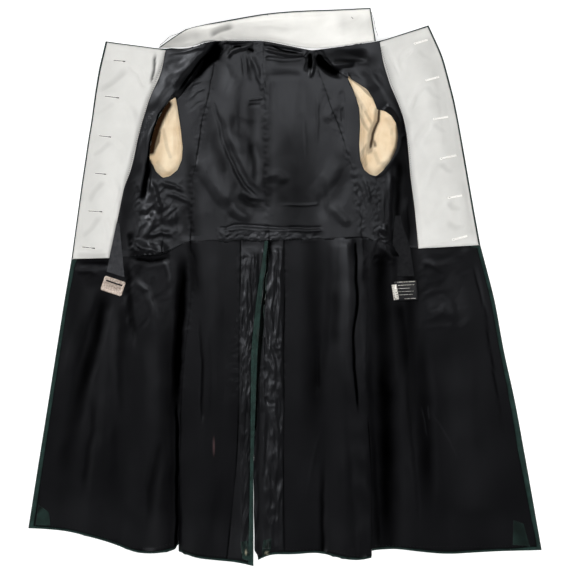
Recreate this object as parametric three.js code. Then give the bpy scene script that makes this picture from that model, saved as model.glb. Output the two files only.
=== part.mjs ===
// Military overcoat laid open with its inside up, as a set of thin cloth walls.
// Millimetres, +Z up. The outer face of the coat rests on z = 0, the collar lies toward +Y.
import * as THREE from 'three';

// ---------- driving sizes ----------
const cloth = { wool: 2.0, satin: 1.0, facing: 2.0, ply: 0.3 };      // wall thickness, and air between plies
const seam = 0.15;                                                   // each panel stops this far short of its seam line
const turnIn = { front: 2.5, hem: 5 };                               // outer cloth left showing round facing and hem
const collar = { rows: 4, stand: 0.45 };                             // stand: share of the height that climbs first
const button = { radius: 12, height: 9, count: 6, fromEdge: [118, 84] };                 // the rows close in toward the waist
const armseye = { under: [8, 30], clear: 0.4 };                      // how far the sleeve head reaches under the body cloth
const sleeveTop = 7.9;                                               // underside of the upper half of a flattened sleeve

// ply heights above the coat's outer face
const shell = [0, cloth.wool];
const satinPly = [cloth.wool + cloth.ply, cloth.wool + cloth.ply + cloth.satin];
const facingPly = [cloth.wool + cloth.ply, cloth.wool + cloth.ply + cloth.facing];

const colour = {
  wool: 0x1d2b27, satin: 0x17181b, white: 0xd9d8d1, cream: 0xdcc9a3,
  tape: 0x2a2c30, brass: 0xb9a795, steel: 0x33343a, horn: 0x8b8d8f,
};

// ---------- cutting lines: one column per seam, one row per level from neck to waist ----------
// front edge, inner edge of the facing, armhole on the front, armhole on the side body,
// princess seam, centre back
const bodiceLeft = [
  { front: [-395, 541], facing: [-262, 522], arm: [-139, 542], side: [-139, 542], princess: [-128, 542], centre: [-47, 542] },
  { front: [-409, 482], facing: [-274, 478], arm: [-190, 479], side: [-190, 479], princess: [-159, 482], centre: [-49, 482] },
  { front: [-419, 419], facing: [-304, 421], arm: [-240, 417], side: [-240, 417], princess: [-167, 419], centre: [-47, 419] },
  { front: [-426, 368], facing: [-319, 368], arm: [-271, 372], side: [-233, 368], princess: [-183, 368], centre: [-45, 368] },
  { front: [-434, 320], facing: [-331, 320], arm: [-289, 320], side: [-225, 315], princess: [-192, 317], centre: [-45, 320] },
  { front: [-439, 284], facing: [-338, 284], arm: [-296, 280], side: [-228, 278], princess: [-199, 278], centre: [-45, 278] },
  { front: [-446, 238], facing: [-350, 238], arm: [-269, 240], side: [-269, 240], princess: [-205, 240], centre: [-45, 240] },
  { front: [-458, 152], facing: [-367, 152], arm: [-273, 152], side: [-273, 152], princess: [-208, 170], centre: [-42, 170] },
  { front: [-470, 62], facing: [-386, 64], arm: [-269, 67], side: [-269, 67], princess: [-210, 101], centre: [-37, 98] },
];
const bodiceRight = [
  { front: [315, 576], facing: [207, 540], arm: [61, 521], side: [61, 521], princess: [52, 522], centre: [-47, 542] },
  { front: [346, 509], facing: [215, 493], arm: [96, 491], side: [96, 491], princess: [74, 482], centre: [-49, 482] },
  { front: [362, 449], facing: [230, 443], arm: [134, 464], side: [134, 464], princess: [87, 438], centre: [-47, 419] },
  { front: [372, 410], facing: [245, 410], arm: [180, 432], side: [156, 421], princess: [101, 394], centre: [-45, 368] },
  { front: [382, 359], facing: [263, 359], arm: [215, 386], side: [164, 364], princess: [123, 348], centre: [-45, 320] },
  { front: [392, 302], facing: [270, 302], arm: [246, 324], side: [166, 302], princess: [140, 298], centre: [-45, 278] },
  { front: [402, 245], facing: [274, 245], arm: [200, 244], side: [200, 244], princess: [153, 249], centre: [-45, 240] },
  { front: [415, 170], facing: [284, 174], arm: [204, 170], side: [204, 170], princess: [168, 179], centre: [-42, 170] },
  { front: [429, 93], facing: [292, 85], arm: [206, 97], side: [206, 97], princess: [173, 112], centre: [-37, 98] },
];
const armhole = { top: 2, foot: 6 };                                  // rows between which the armhole is open

// skirts, from the waist to the hem; the last row is cut off along the hem
const skirtLeft = [
  { front: [-470, 62], facing: [-386, 64], side: [-269, 67], fold: [-210, 101], strip: [-97, 99.3], band: [-45, 98.1], vent: [-37.5, 98] },
  { front: [-487, -37], facing: [-412, -35], side: [-292, -30], fold: [-206, -28], strip: [-98, -28], band: [-64, -28], vent: [-52, -28] },
  { front: [-503, -138], facing: [-425, -138], side: [-300, -138], fold: [-221, -138], strip: [-98, -138], band: [-75, -138], vent: [-61, -138] },
  { front: [-521, -252], facing: [-440, -250], side: [-310, -248], fold: [-230, -248], strip: [-98, -248], band: [-76, -248], vent: [-65, -248] },
  { front: [-543, -389], facing: [-455, -390], side: [-318, -391], fold: [-235, -391], strip: [-103, -391], band: [-77, -391], vent: [-70, -391] },
  { front: [-565, -530], facing: [-473, -537], side: [-328, -585], fold: [-235, -575], strip: [-128, -602], band: [-82, -609], vent: [-70, -613] },
];
const skirtRight = [
  { front: [429, 93], facing: [292, 85], side: [206, 97], fold: [173, 112], strip: [-5, 100.2], vent: [-35.5, 98.1] },
  { front: [461, -28], facing: [322, -28], side: [226, -28], fold: [184, -28], strip: [-4, -28], vent: [-40, -28] },
  { front: [480, -138], facing: [340, -138], side: [236, -138], fold: [179, -138], strip: [-5, -138], vent: [-53, -138] },
  { front: [505, -248], facing: [362, -248], side: [246, -248], fold: [179, -248], strip: [-3, -248], vent: [-61, -248] },
  { front: [531, -391], facing: [382, -391], side: [256, -391], fold: [190, -391], strip: [-5, -391], vent: [-64, -391] },
  { front: [564, -578], facing: [400, -590], side: [272, -575], fold: [190, -590], strip: [-3, -585], vent: [-60, -600] },
];
const hem = {
  frontLeft: [[-565, -530], [-518, -532], [-474, -537], [-414, -552], [-364, -569], [-335, -585], [-304, -586], [-276, -581], [-236, -566]],
  backLeft: [[-235, -580], [-205, -592], [-177, -597], [-111, -604], [-70, -613]],
  backRight: [[-60, -600], [-47, -593], [-29, -585], [10, -589], [70, -582], [131, -597], [169, -602], [196, -593]],
  frontRight: [[178, -580], [204, -577], [252, -575], [285, -579], [329, -585], [373, -587], [450, -580], [516, -580], [564, -578]],
};

// ---------- folds: a ridge from head to foot, with its height at both ends ----------
// left and right are how far each flank reaches; fade is the run-out past each end
const folds = [
  { name: 'left shoulder roll', head: [-172, 545], foot: [-276, 415], high: 34, low: 26, left: 64, right: 38, fade: 60 },
  { name: 'left front roll', head: [-276, 415], foot: [-326, 200], high: 26, low: 14, left: 46, right: 50, fade: 70 },
  { name: 'left button row', head: [-287, 525], foot: [-384, 66], high: 13, low: 12, left: 66, right: 66, fade: 70 },
  { name: 'right shoulder roll', head: [178, 520], foot: [250, 368], high: 18, low: 24, left: 44, right: 48, fade: 60 },
  { name: 'right front roll', head: [250, 368], foot: [262, 180], high: 24, low: 16, left: 44, right: 50, fade: 80 },
  { name: 'right button row', head: [211, 556], foot: [345, 92], high: 13, low: 12, left: 66, right: 66, fade: 70 },
  { name: 'left skirt pleat', head: [-255, 60], foot: [-266, -574], high: 13, low: 26, left: 80, right: 34, fade: 80 },
  { name: 'left back skirt', head: [-180, 60], foot: [-196, -590], high: 12, low: 22, left: 38, right: 74, fade: 80 },
  { name: 'left front skirt', head: [-360, -20], foot: [-440, -540], high: 13, low: 12, left: 34, right: 62, fade: 90 },
  { name: 'vent left', head: [-118, 40], foot: [-136, -600], high: 7, low: 9, left: 50, right: 26, fade: 80 },
  { name: 'vent right', head: [12, 40], foot: [16, -600], high: 7, low: 9, left: 24, right: 56, fade: 80 },
  { name: 'right back skirt', head: [126, 80], foot: [134, -600], high: 14, low: 24, left: 48, right: 34, fade: 80 },
  { name: 'right front skirt', head: [268, 40], foot: [279, -574], high: 14, low: 18, left: 48, right: 96, fade: 90 },
  { name: 'vent lap', head: [-40, 130], foot: [-62, -345], high: 4.4, low: 3.6, left: 88, right: 88, fade: 60 },
];
// the sleeves lie flat under the body, and the cloth over each is lifted clear
const sleeves = [
  { name: 'left', head: [-258, 405], foot: [-215, -225], rise: 10.8, half: 132, fall: 44, fade: 62, buttons: [498, 88] },
  { name: 'right', head: [192, 395], foot: [185, -225], rise: 10.8, half: 132, fall: 44, fade: 62, buttons: [512, 108] },
];

// ---------- small helpers ----------
const mix = (a, b, t) => a + (b - a) * t;
const mixPoint = (p, q, t) => p.map((value, i) => mix(value, q[i], t));
const smooth = (t) => { const k = Math.min(Math.max(t, 0), 1); return k * k * (3 - 2 * k); };
const bell = (t) => 0.5 + 0.5 * Math.cos(Math.PI * Math.min(Math.abs(t), 1));
const steps = (count) => Array.from({ length: count + 1 }, (_, i) => i / count);

// place along a straight run, and signed distance to the side of it (+ to the right, looking at the plan)
function alongside(head, foot, x, y) {
  const dx = foot[0] - head[0], dy = foot[1] - head[1], length = Math.hypot(dx, dy);
  const along = ((x - head[0]) * dx + (y - head[1]) * dy) / length;
  const aside = (-(x - head[0]) * dy + (y - head[1]) * dx) / length;
  return { share: along / length, beyond: Math.max(-along, along - length, 0), aside };
}
function foldHeight(fold, x, y) {
  const { share, beyond, aside } = alongside(fold.head, fold.foot, x, y);
  const flank = aside < 0 ? fold.left : fold.right;
  return mix(fold.high, fold.low, smooth(share)) * bell(aside / flank) * bell(beyond / fold.fade);
}
function sleeveHeight(sleeve, x, y) {
  const { beyond, aside } = alongside(sleeve.head, sleeve.foot, x, y);
  return sleeve.rise * (1 - smooth((Math.abs(aside) - sleeve.half) / sleeve.fall)) * (1 - smooth((beyond - 50) / sleeve.fade));
}
// height of the coat's outer face above the floor
function lift(x, y) {
  let sum = 0;
  for (const fold of folds) sum += foldHeight(fold, x, y) ** 4;
  for (const sleeve of sleeves) sum += sleeveHeight(sleeve, x, y) ** 4;
  return sum ** 0.25;
}
// how much taller a ply stands on a slope, so that its wall keeps its thickness
function slant(x, y) {
  const d = 3, gx = (lift(x + d, y) - lift(x - d, y)) / (2 * d), gy = (lift(x, y + d) - lift(x, y - d)) / (2 * d);
  return Math.min(Math.hypot(1, gx, gy), 2);
}
function polylineY(line, x) {
  for (let i = 1; i < line.length; i++) {
    const [a, b] = [line[i - 1], line[i]];
    if (x <= b[0] || i === line.length - 1) return mix(a[1], b[1], (x - a[0]) / (b[0] - a[0]));
  }
}

// ---------- solids ----------
const coat = new THREE.Group();
coat.name = 'military_overcoat';
const upperFaces = [], lowerFaces = [];                               // built so far, for what lies on or under them

function addMesh(name, points, faces, tint, roughness = 0.85) {
  const geometry = new THREE.BufferGeometry();
  geometry.setAttribute('position', new THREE.Float32BufferAttribute(points.flat(), 3));
  geometry.setIndex(faces.flat());
  geometry.computeVertexNormals();
  const material = new THREE.MeshStandardMaterial({ color: tint, roughness, metalness: tint === colour.brass || tint === colour.horn ? 0.8 : 0 });
  const mesh = new THREE.Mesh(geometry, material);
  mesh.name = name;
  coat.add(mesh);
}

// a closed wall between two grids of points, under[row][column] and over[row][column];
// rows run away from +Y when columns run toward +X, and flip tells that they run the other way
function addWall(name, under, over, tint, flip = false) {
  const rows = under.length, columns = under[0].length, points = [...under.flat(), ...over.flat()];
  const lower = (r, c) => r * columns + c, upper = (r, c) => rows * columns + r * columns + c;
  const faces = [];
  const face = (a, b, c) => faces.push(flip ? [a, c, b] : [a, b, c]);
  for (let r = 0; r + 1 < rows; r++) {
    for (let c = 0; c + 1 < columns; c++) {
      face(upper(r, c), upper(r + 1, c), upper(r + 1, c + 1));
      face(upper(r, c), upper(r + 1, c + 1), upper(r, c + 1));
      face(lower(r, c), lower(r + 1, c + 1), lower(r + 1, c));
      face(lower(r, c), lower(r, c + 1), lower(r + 1, c + 1));
      for (const [grid, store] of [[over, upperFaces], [under, lowerFaces]]) {
        store.push([grid[r][c], grid[r + 1][c], grid[r + 1][c + 1]], [grid[r][c], grid[r + 1][c + 1], grid[r][c + 1]]);
      }
    }
  }
  const rim = [];
  for (let c = 0; c < columns; c++) rim.push([0, c]);
  for (let r = 1; r < rows; r++) rim.push([r, columns - 1]);
  for (let c = columns - 2; c >= 0; c--) rim.push([rows - 1, c]);
  for (let r = rows - 2; r > 0; r--) rim.push([r, 0]);
  rim.forEach(([r, c], i) => {
    const [s, d] = rim[(i + 1) % rim.length];
    face(upper(r, c), upper(s, d), lower(s, d));
    face(upper(r, c), lower(s, d), lower(r, c));
  });
  addMesh(name, points, faces, tint, tint === colour.satin ? 0.45 : 0.9);
}

// heights of the built faces over or under a point and its near neighbours
function heightsNear(store, x, y, reach) {
  const found = [];
  for (const [dx, dy] of [[0, 0], [reach, 0], [-reach, 0], [0, reach], [0, -reach]]) {
    const px = x + dx, py = y + dy;
    for (const [a, b, c] of store) {
      const area = (b[0] - a[0]) * (c[1] - a[1]) - (b[1] - a[1]) * (c[0] - a[0]);
      const v = ((px - a[0]) * (c[1] - a[1]) - (py - a[1]) * (c[0] - a[0])) / area;
      const w = ((b[0] - a[0]) * (py - a[1]) - (b[1] - a[1]) * (px - a[0])) / area;
      if (v >= -1e-6 && w >= -1e-6 && v + w <= 1 + 1e-6) found.push(a[2] + v * (b[2] - a[2]) + w * (c[2] - a[2]));
    }
  }
  return found;
}
const restHeight = (x, y, reach = 4) => Math.max(0, ...heightsNear(upperFaces, x, y, reach));

// move the outermost points of a grid inward by the trims, along the cloth
function trimGrid(grid, trim) {
  const pull = (p, q, by) => mixPoint(p, q, Math.min(by / Math.hypot(q[0] - p[0], q[1] - p[1]), 0.9));
  const last = grid[0].length - 1, end = grid.length - 1;
  for (const row of grid) {
    const first = pull(row[0], row[1], trim.left), final = pull(row[last], row[last - 1], trim.right);
    row[0] = first; row[last] = final;
  }
  grid[0] = grid[0].map((p, c) => pull(p, grid[1][c], trim.top));
  grid[end] = grid[end].map((p, c) => pull(p, grid[end - 1][c], trim.bottom));
  return grid;
}

// one ply of one panel, cut from a lattice of plan points; skip leaves out rows at the top and bottom
function addPly(name, lattice, [from, to], [low, high], tint, { trim = {}, skip = [0, 0], flip = false } = {}) {
  const sides = { left: seam, right: seam, top: seam, bottom: seam, ...trim };
  const rows = lattice.slice(skip[0], lattice.length - skip[1]);
  const raise = (height) => trimGrid(rows.map((row) => row.slice(from, to + 1)
    .map(([x, y]) => [x, y, lift(x, y) + height * slant(x, y)])), sides);
  addWall(name, raise(low), raise(high), tint, flip);
}

// a lattice: key lines filled in across (shares of each gap) and down (shares of each step)
function makeLattice(table, gaps, down) {
  const names = gaps.map((gap) => gap.to);
  const acrossRow = (row) => {
    const points = [row[gaps[0].from]];
    for (const gap of gaps) for (const share of gap.shares) points.push(mixPoint(row[gap.from], row[gap.to], share));
    return points;
  };
  const keyed = table.map(acrossRow), rows = [];
  keyed.forEach((row, i) => {
    if (i === 0) { rows.push(row); return; }
    for (const share of down[i - 1]) rows.push(row.map((p, c) => mixPoint(keyed[i - 1][c], p, share)));
  });
  const column = { [gaps[0].from]: 0 };
  gaps.forEach((gap, i) => { column[names[i]] = column[gap.from] + gap.shares.length; });
  return { rows, column };
}
// slide the last two rows along their own columns: to the hem line, and a turn-in short of it
function cutHem(rows, line) {
  const end = rows.length - 1, above = rows[end - 2];
  const last = rows[end].map((p, c) => mixPoint(above[c], p, (polylineY(line, p[0]) - above[c][1]) / (p[1] - above[c][1])));
  const inner = last.map((p, c) => mixPoint(p, above[c], turnIn.hem / Math.hypot(p[0] - above[c][0], p[1] - above[c][1])));
  return [...rows.slice(0, end - 1), inner, last];
}

// ---------- bodice: foreparts, side bodies and backs, with their facings and linings ----------
const bodiceDown = [[0.04, 0.5, 1], [0.5, 1], [0.5, 1], [0.5, 1], [1], [1], [0.5, 1], [0.5, 1]];
const bodiceGaps = {
  front: [{ from: 'front', to: 'facing', shares: [0.03, 0.33, 0.66, 1] }, { from: 'facing', to: 'arm', shares: [0.25, 0.5, 0.75, 1] }],
  side: [{ from: 'side', to: 'princess', shares: [0.5, 1] }],
  back: [{ from: 'princess', to: 'centre', shares: [0.22, 0.45, 0.7, 1] }],
};
const body = {};
for (const [hand, table] of [['left', bodiceLeft], ['right', bodiceRight]]) {
  const flip = hand === 'right';
  const front = makeLattice(table, bodiceGaps.front, bodiceDown);
  const side = makeLattice(table, bodiceGaps.side, bodiceDown);
  const back = makeLattice(table, bodiceGaps.back, bodiceDown);
  body[hand] = { front, side, back };
  const { facing, arm } = front.column;
  addPly(`forepart_${hand}`, front.rows, [0, arm], shell, colour.wool, { trim: { left: 0, top: 0 }, flip });
  addPly(`lapel_facing_${hand}`, front.rows, [1, facing], facingPly, colour.white, { trim: { left: 0, top: 0 }, skip: [1, 0], flip });
  addPly(`lining_front_${hand}`, front.rows, [facing, arm], satinPly, colour.satin, { flip });
  addPly(`side_body_${hand}`, side.rows, [0, 2], shell, colour.wool, { flip });
  addPly(`lining_side_${hand}`, side.rows, [0, 2], satinPly, colour.satin, { flip });
  addPly(`back_${hand}`, back.rows, [0, 4], shell, colour.wool, { flip });
  addPly(`lining_back_${hand}`, back.rows, [0, 4], satinPly, colour.satin, { flip });
}

// ---------- skirts ----------
const skirtDown = [[0.5, 1], [0.5, 1], [0.5, 1], [0.5, 1], [0.5, 0.9, 1]];
const frontGaps = [
  { from: 'front', to: 'facing', shares: [0.16, 0.55, 1] },
  { from: 'facing', to: 'side', shares: [0.26, 0.5, 0.75, 1] },
  { from: 'side', to: 'fold', shares: [0.33, 0.66, 1] },
];
const backGaps = {
  left: [{ from: 'fold', to: 'strip', shares: [0.25, 0.5, 0.75, 1] }, { from: 'strip', to: 'band', shares: [0.5, 1] }, { from: 'band', to: 'vent', shares: [1] }],
  right: [{ from: 'fold', to: 'strip', shares: [0.14, 0.3, 0.46, 0.64, 0.82, 1] }, { from: 'strip', to: 'vent', shares: [0.5, 1] }],
};
const skirt = {};
for (const [hand, table] of [['left', skirtLeft], ['right', skirtRight]]) {
  const flip = hand === 'right';
  const front = makeLattice(table, frontGaps, skirtDown), back = makeLattice(table, backGaps[hand], skirtDown);
  const frontRows = cutHem(front.rows, hand === 'left' ? hem.frontLeft : hem.frontRight);
  const backRows = cutHem(back.rows, hand === 'left' ? hem.backLeft : hem.backRight);
  skirt[hand] = { front, back, frontRows, backRows };
  const { strip, band, vent } = back.column, edge = front.column.fold;
  addPly(`skirt_front_${hand}`, frontRows, [0, edge], shell, colour.wool, { trim: { left: 0, bottom: 0 }, flip });
  addPly(`lining_skirt_front_${hand}`, frontRows, [1, edge], satinPly, colour.satin, { trim: { left: 0, bottom: 0 }, skip: [0, 1], flip });
  addPly(`skirt_back_${hand}`, backRows, [0, vent], shell, colour.wool, { trim: { right: 0, bottom: 0 }, flip });
  addPly(`lining_skirt_back_${hand}`, backRows, [0, strip], satinPly, colour.satin, { trim: { bottom: 0 }, skip: [0, 1], flip });
  addPly(`vent_facing_${hand}`, backRows, [strip, band ?? vent], satinPly, colour.satin, { trim: { bottom: 0 }, skip: [0, 1], flip });
  if (band) addPly('vent_turned_edge', backRows, [band, vent], facingPly, colour.wool, { trim: { right: 0, bottom: 0 }, flip });
}

// the wool underlap that closes the upper part of the vent from behind, flat on the floor
const lap = { head: [-40, 84], foot: [-61, -325], half: [20, 17], rows: 6 };
const lapPlan = steps(lap.rows).map((v) => {
  const [x, y] = mixPoint(lap.head, lap.foot, v), half = mix(...lap.half, v);
  return [[x - half, y, 0], [x + half, y, 0]];
});
addWall('vent_underlap', lapPlan, lapPlan.map((row) => row.map(([x, y]) => [x, y, cloth.wool])), colour.wool);

// ---------- collar, under collar and its facing ----------
// from the left end round the neck to the right end; reach is the top edge, rise is its height
const neckline = [
  { neck: [-277, 525.5], reach: [-214, 564], rise: 58 },
  { neck: [-242, 527.2], reach: [-190, 569], rise: 62 },
  { neck: [-200.5, 534.5], reach: [-172, 573], rise: 66 },
  { neck: [-139, 543.5], reach: [-135, 579], rise: 68 },
  { neck: [-88, 543.5], reach: [-80, 590], rise: 62 },
  { neck: [-47, 543.5], reach: [-42, 597], rise: 56 },
  { neck: [2.5, 533.5], reach: [4, 602], rise: 48 },
  { neck: [52, 523.8], reach: [50, 605.5], rise: 38 },
  { neck: [98, 526.8], reach: [95, 607.5], rise: 28 },
  { neck: [150, 534.2], reach: [147, 610.5], rise: 22 },
  { neck: [199, 540.5], reach: [187, 613], rise: 18 },
];
function collarGrid(height) {
  return steps(collar.rows).reverse().map((v) => neckline.map(({ neck, reach, rise }) => {
    const [x, y] = mixPoint(neck, reach, v), root = lift(...neck);
    const z = mix(root, rise, Math.sin(v * Math.PI / 2 * 0.9) / Math.sin(Math.PI / 2 * 0.9));
    const steep = Math.min(Math.hypot(1, (rise - root) / Math.hypot(reach[0] - neck[0], reach[1] - neck[1])), 1.9);
    return [x, y, z + height * mix(1, steep, smooth(v * 3))];
  }));
}
function addCollar(name, [low, high], tint, trim) {
  addWall(name, trimGrid(collarGrid(low), trim), trimGrid(collarGrid(high), trim), tint);
}
addCollar('under_collar', shell, colour.wool, { left: 0, right: 0, top: 0, bottom: 0 });
addCollar('collar_facing', facingPly, colour.white, { left: 2.5, right: 2.5, top: 2.5, bottom: 0 });

// ---------- sleeves: flattened tubes, open at the cuff, with the lining seen through the armhole ----------
const acrossSleeve = [-1, -0.85, -0.45, 0, 0.45, 0.85, 1];
const belowArmhole = [                                               // down: share of the way to the cuff
  { down: 0.03, half: 56 }, { down: 0.09, half: 82 }, { down: 0.22, half: 96 }, { down: 0.42, half: 92 },
  { down: 0.62, half: 86 }, { down: 0.82, half: 80 }, { down: 1, half: 75 },
];
for (const { name: hand, foot: cuffEnd } of sleeves) {
  const { front, side } = body[hand], inward = hand === 'left' ? 1 : -1;
  const rowAt = (key) => bodiceDown.slice(0, key).flat().length;
  const rows = rowAt(armhole.foot) - rowAt(armhole.top);
  const rim = (lattice, r, column, neighbour) => {
    const [p, q] = [lattice.rows[r][column], lattice.rows[r][neighbour]];
    const reach = mix(...armseye.under, (r - rowAt(armhole.top)) / rows);
    return mixPoint(p, q, reach / Math.hypot(q[0] - p[0], q[1] - p[1]));
  };
  const flip = hand === 'right', ceilings = [...lowerFaces];
  const ceiling = (x, y) => Math.min(60, ...heightsNear(ceilings, x, y, 8));
  const linedWall = cloth.wool + cloth.ply + cloth.satin + armseye.clear;
  const under = [];
  for (let r = rowAt(armhole.top); r < rowAt(armhole.foot); r++) {
    const a = rim(front, r, front.column.arm, front.column.arm - 1), b = rim(side, r, 0, 1);
    const deep = smooth((r - rowAt(armhole.top)) / 2.2);
    const [brink, brinkInner] = [ceiling(...a) - linedWall, ceiling(...b) - linedWall];
    under.push(acrossSleeve.map((t) => {
      const [x, y] = mixPoint(a, b, (t + 1) / 2), edge = smooth((Math.abs(t) - 0.4) / 0.6);
      const wanted = mix(brink, brinkInner, (t + 1) / 2) * mix(1, edge, deep);
      return [x, y, Math.max(Math.min(wanted, ceiling(x, y) - linedWall), 0)];
    }));
  }
  const footPoint = front.rows[rowAt(armhole.foot)][front.column.arm];
  const lens = (t, depth) => depth * Math.abs(t) ** 3;
  const tube = belowArmhole.map(({ down, half }) => acrossSleeve.map((t) => {
    const [x, y] = mixPoint(footPoint, cuffEnd, down);
    return [x + t * half * inward, y, lens(t, 2.8)];
  }));
  under.push(...tube);
  const raised = (grid, by) => grid.map((row) => row.map(([x, y, z]) => [x, y, z + by]));
  addWall(`under_sleeve_${hand}`, under, raised(under, cloth.wool), colour.wool, flip);
  const liningRows = under.slice(0, rows + 2).map((row) => row.slice(1, -1));
  addWall(`sleeve_lining_${hand}`, raised(liningRows, cloth.wool + cloth.ply), raised(liningRows, cloth.wool + cloth.ply + cloth.satin), colour.cream, flip);
  const top = tube.map((row) => row.map(([x, y, z]) => [x, y, Math.min(sleeveTop - z, ceiling(x, y) - cloth.wool - armseye.clear)]));
  addWall(`top_sleeve_${hand}`, top, raised(top, cloth.wool), colour.wool, flip);
}

// ---------- what lies on the lining ----------
// a four-cornered patch laid on the cloth: corners run top left, top right, bottom right, bottom left
function addPatch(name, [a, b, c, d], thickness, tint, across, down, clear = 0.6) {
  const grid = steps(down).map((v) => steps(across).map((u) => mixPoint(mixPoint(a, b, u), mixPoint(d, c, u), v)));
  const bottom = grid.map((row) => row.map(([x, y]) => [x, y, restHeight(x, y) + clear]));
  const saved = upperFaces.length;
  addWall(name, bottom, bottom.map((row) => row.map(([x, y, z]) => [x, y, z + thickness])), tint);
  return saved;
}
addPatch('hem_corner_front_left', [[-543, -478], [-520, -494], [-516, -524], [-549, -523]], 1.5, colour.wool, 2, 3);
addPatch('hem_corner_vent_left', [[-99, -560], [-84, -556], [-75, -604], [-94, -597]], 1.5, colour.wool, 2, 3);
addPatch('hem_corner_vent_right', [[-46, -556], [-30, -551], [-32, -580], [-50, -590]], 1.5, colour.wool, 2, 3);
addPatch('hem_corner_front_right', [[502, -512], [524, -520], [538, -570], [500, -566]], 1.5, colour.wool, 2, 3);

// inner waist straps, from the facing seam to their buckles
addPatch('waist_strap_left', [[-370, 140], [-364, 140], [-353, 22], [-392, 34]], 1.6, colour.tape, 3, 9, 0.8);
addPatch('waist_strap_right', [[258, 158], [264, 158], [283, 24], [246, 24]], 1.6, colour.tape, 3, 9, 0.8);

// a flat metal frame with a slot for the strap, or a solid clasp plate
function addBuckle(name, { centre, size: [length, width, thickness], turn, slots }, tint) {
  const outline = new THREE.Shape();
  const [a, b, r] = [length / 2, width / 2, 3];
  outline.moveTo(-a + r, -b).lineTo(a - r, -b).lineTo(a, -b + r).lineTo(a, b - r).lineTo(a - r, b).lineTo(-a + r, b).lineTo(-a, b - r).lineTo(-a, -b + r).lineTo(-a + r, -b);
  for (const { at, long, wide } of slots) {
    const hole = new THREE.Path();
    hole.moveTo(-long / 2, at - wide / 2).lineTo(-long / 2, at + wide / 2).lineTo(long / 2, at + wide / 2).lineTo(long / 2, at - wide / 2).lineTo(-long / 2, at - wide / 2);
    outline.holes.push(hole);
  }
  const geometry = new THREE.ExtrudeGeometry(outline, { depth: thickness, bevelEnabled: false });
  const c = Math.cos(turn), s = Math.sin(turn), spots = steps(8).map((v) => 2 * v - 1);
  const rest = Math.max(...spots.flatMap((u) => spots.map((v) => restHeight(centre[0] + u * a * c - v * b * s, centre[1] + u * a * s + v * b * c, 1))));
  geometry.rotateZ(turn).translate(centre[0], centre[1], rest + 0.4);
  const mesh = new THREE.Mesh(geometry, new THREE.MeshStandardMaterial({ color: tint, roughness: 0.4, metalness: 0.8 }));
  mesh.name = name;
  coat.add(mesh);
}
addBuckle('buckle_left', { centre: [-379, 3], size: [48, 33, 3], turn: -0.28, slots: [{ at: 7, long: 36, wide: 5 }] }, colour.brass);
addBuckle('clasp_right', { centre: [262.5, -4], size: [52, 44, 3], turn: 0, slots: [{ at: 14, long: 40, wide: 4 }] }, colour.steel);

// ---------- buttons on the hidden outer face, domed side down on the floor ----------
const buttonProfile = [[0, 0], [0.55, 0.06], [1, 0.3], [0.96, 0.42], [0.3, 0.46], [0.3, 1], [0, 1]];   // shares of radius and height
const forepartFaces = [...lowerFaces];
for (const { name: hand, buttons: [highest, lowest] } of sleeves) {
  const edge = (hand === 'left' ? bodiceLeft : bodiceRight).map((row) => [row.front[1], row.front[0]]).reverse();
  for (const [i, share] of steps(button.count - 1).entries()) {
    const y = mix(highest, lowest, share), x = polylineY(edge, y) + (hand === 'left' ? 1 : -1) * mix(...button.fromEdge, share);
    const atShank = Math.min(...heightsNear(forepartFaces, x, y, 0.3 * button.radius)) - button.height;
    const atRim = Math.min(...heightsNear(forepartFaces, x, y, button.radius)) - 0.46 * button.height;
    const turned = new THREE.LatheGeometry(buttonProfile.map(([radius, z]) => new THREE.Vector2(radius * button.radius, z * button.height)), 12);
    turned.rotateX(Math.PI / 2).translate(x, y, Math.min(atShank, atRim) - cloth.ply);
    const mesh = new THREE.Mesh(turned, new THREE.MeshStandardMaterial({ color: colour.horn, roughness: 0.45, metalness: 0.8 }));
    mesh.name = `button_${hand}_${i + 1}`;
    coat.add(mesh);
  }
}

export default coat;
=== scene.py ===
# %% [markdown]
# # An officer's overcoat, laid open
# The coat lies on its outer face with the lining up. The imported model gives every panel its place
# and its main folds, as plain solids. This lesson gives each panel its real cloth: thin sheets with
# creases, seams, stitches and a weave. Loading the model first means nothing has to be fitted later.

# %% Load the frame and note its box
import math

import bmesh
import bpy
import numpy as np
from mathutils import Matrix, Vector
from mathutils.kdtree import KDTree


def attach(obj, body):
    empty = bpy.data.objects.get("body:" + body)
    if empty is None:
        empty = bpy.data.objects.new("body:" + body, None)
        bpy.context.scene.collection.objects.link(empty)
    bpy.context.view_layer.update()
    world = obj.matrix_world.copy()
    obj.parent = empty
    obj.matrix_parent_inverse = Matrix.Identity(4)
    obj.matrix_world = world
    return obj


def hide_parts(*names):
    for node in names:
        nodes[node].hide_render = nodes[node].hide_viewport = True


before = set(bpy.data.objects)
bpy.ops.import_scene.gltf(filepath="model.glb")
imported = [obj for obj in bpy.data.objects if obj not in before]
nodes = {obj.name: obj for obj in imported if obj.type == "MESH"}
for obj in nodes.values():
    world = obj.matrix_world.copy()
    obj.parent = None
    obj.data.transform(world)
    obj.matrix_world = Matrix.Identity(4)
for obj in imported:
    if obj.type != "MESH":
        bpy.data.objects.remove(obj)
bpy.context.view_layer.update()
mm = 0.001

# %% [markdown]
# ## A cutting mat to measure on
# Tailors mark creases and stitches from above, on a mat. Here the mat has 2.2 mm squares, counted to
# the right and downwards from its top left corner, and `mat` turns a square into metres. Writing
# every crease in mat squares keeps the notes short and easy to read.

# %% The mat
square = 2.2 * mm
mat_middle = (285.25, 287.25)


def mat(column, row):
    return ((column - mat_middle[0]) * square, (mat_middle[1] - row) * square)


def squares_of(points):
    """The column and row of each point."""
    return points[:, 0] / square + mat_middle[0], mat_middle[1] - points[:, 1] / square


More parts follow.
